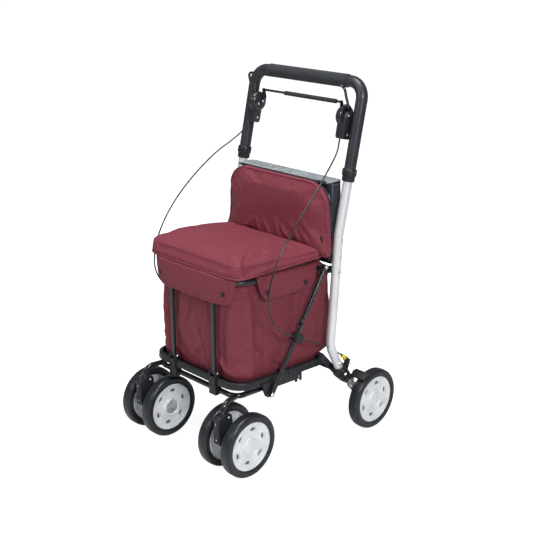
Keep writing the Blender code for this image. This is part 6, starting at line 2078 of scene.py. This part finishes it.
def make_stage(scene):
    bm = bmesh.new()
    bmesh.ops.create_grid(bm, x_segments=1, y_segments=1, size=40.0)
    floor = bpy.data.objects.new("floor", join_parts("floor", bm))
    scene.collection.objects.link(floor)
    floor.location = (0, 0, -0.0006)
    pale = bpy.data.materials.new("pale_floor")
    pale.use_nodes = True
    tree = pale.node_tree
    tree.nodes.clear()
    output = tree.nodes.new("ShaderNodeOutputMaterial")
    matt = tree.nodes.new("ShaderNodeBsdfDiffuse")
    matt.inputs["Color"].default_value = (FLOOR_GREY, FLOOR_GREY, FLOOR_GREY, 1)
    glow = tree.nodes.new("ShaderNodeEmission")
    glow.inputs["Color"].default_value = (1, 1, 1, 1)
    seen = tree.nodes.new("ShaderNodeLightPath").outputs["Is Camera Ray"]
    tree.links.new(maths(tree, "MULTIPLY", seen, FLOOR_GLOW), glow.inputs["Strength"])
    both = tree.nodes.new("ShaderNodeAddShader")
    tree.links.new(matt.outputs[0], both.inputs[0])
    tree.links.new(glow.outputs[0], both.inputs[1])
    tree.links.new(both.outputs[0], output.inputs["Surface"])
    floor.data.materials.append(pale)
    world = bpy.data.worlds.new("white_world")
    world.use_nodes = True
    scene.world = world
    nodes, links = world.node_tree.nodes, world.node_tree.links
    nodes.clear()
    output = nodes.new("ShaderNodeOutputWorld")
    seen = nodes.new("ShaderNodeBackground")
    seen.inputs["Color"].default_value = (1, 1, 1, 1)
    seen.inputs["Strength"].default_value = 1.0
    lit = nodes.new("ShaderNodeBackground")
    lit.inputs["Color"].default_value = (0.97, 0.985, 1, 1)
    lit.inputs["Strength"].default_value = WORLD_LIGHT
    rays = nodes.new("ShaderNodeLightPath")
    mix = nodes.new("ShaderNodeMixShader")
    links.new(rays.outputs["Is Camera Ray"], mix.inputs["Fac"])
    links.new(lit.outputs[0], mix.inputs[1])
    links.new(seen.outputs[0], mix.inputs[2])
    links.new(mix.outputs[0], output.inputs["Surface"])
    lamps = [
        area_lamp("front", (-0.55, -2.3, 2.1), (0, 0, 0.42), 1.2, 1.2, 16),
        area_lamp("key", (2.6, -1.1, 2.0), (0, 0, 0.4), 0.7, 0.7, 50),
        area_lamp("top", (0.1, -0.25, 2.9), (0, 0, 0.4), 1.3, 1.3, 50),
    ]
    data = bpy.data.cameras.new("camera")
    data.lens, data.sensor_width = LENS, 36.0
    data.clip_start, data.clip_end = 0.05, 100.0
    camera = bpy.data.objects.new("camera", data)
    scene.collection.objects.link(camera)
    ahead = Vector((-math.sin(AZIMUTH) * math.cos(ELEVATION), math.cos(AZIMUTH) * math.cos(ELEVATION),
                    -math.sin(ELEVATION)))
    right = Vector((math.cos(AZIMUTH), math.sin(AZIMUTH), 0))
    up = right.cross(ahead)
    across = right * math.cos(ROLL) + up * math.sin(ROLL)
    above = up * math.cos(ROLL) - right * math.sin(ROLL)
    turn = Matrix((across, above, -ahead)).transposed().to_4x4()
    camera.matrix_world = Matrix.Translation(EYE) @ turn
    scene.camera = camera
    scene.view_settings.view_transform = "Standard"


class ROLLATOR_OT_stage(bpy.types.Operator):
    """Pale floor, white world, soft lamps and the camera"""
    bl_idname = "rollator.stage"
    bl_label = "Stage"

    def execute(self, context):
        make_stage(context.scene)
        return {"FINISHED"}


STEPS = ("uprights", "ring", "struts", "base", "stays", "casters", "wheels", "rear", "brakes", "cables",
         "handle", "controls", "bag", "flaps", "seat", "backrest", "pocket", "stage")


class ROLLATOR_PT_panel(bpy.types.Panel):
    """Lists the rollator's settings and its pieces"""
    bl_idname = "ROLLATOR_PT_panel"
    bl_label = "Shopping Rollator"
    bl_space_type = "VIEW_3D"
    bl_region_type = "UI"
    bl_category = "Rollator"

    def draw(self, context):
        layout = self.layout
        for settings in (context.scene.rollator_colours, context.scene.rollator_sizes):
            box = layout.box()
            for name in settings.bl_rna.properties.keys():
                if name not in ("rna_type", "name"):
                    box.prop(settings, name)
        column = layout.column(align=True)
        for step in STEPS:
            column.operator("rollator." + step)


CLASSES = (
    RollatorColours, RollatorSizes, ROLLATOR_OT_uprights, ROLLATOR_OT_ring, ROLLATOR_OT_struts,
    ROLLATOR_OT_base, ROLLATOR_OT_stays, ROLLATOR_OT_casters, ROLLATOR_OT_wheels, ROLLATOR_OT_rear,
    ROLLATOR_OT_brakes, ROLLATOR_OT_cables, ROLLATOR_OT_handle, ROLLATOR_OT_controls, ROLLATOR_OT_bag,
    ROLLATOR_OT_flaps, ROLLATOR_OT_seat, ROLLATOR_OT_backrest, ROLLATOR_OT_pocket, ROLLATOR_OT_stage,
    ROLLATOR_PT_panel,
)


def register():
    for item in CLASSES:
        bpy.utils.register_class(item)
    bpy.types.Scene.rollator_colours = bpy.props.PointerProperty(type=RollatorColours)
    bpy.types.Scene.rollator_sizes = bpy.props.PointerProperty(type=RollatorSizes)


def unregister():
    del bpy.types.Scene.rollator_sizes
    del bpy.types.Scene.rollator_colours
    for item in reversed(CLASSES):
        bpy.utils.unregister_class(item)


def main():
    register()
    scene = bpy.context.scene
    make_groups()
    make_finishes(scene.rollator_colours, scene.rollator_sizes)
    for step in STEPS:
        getattr(bpy.ops.rollator, step)()


if __name__ == "__main__":
    main()
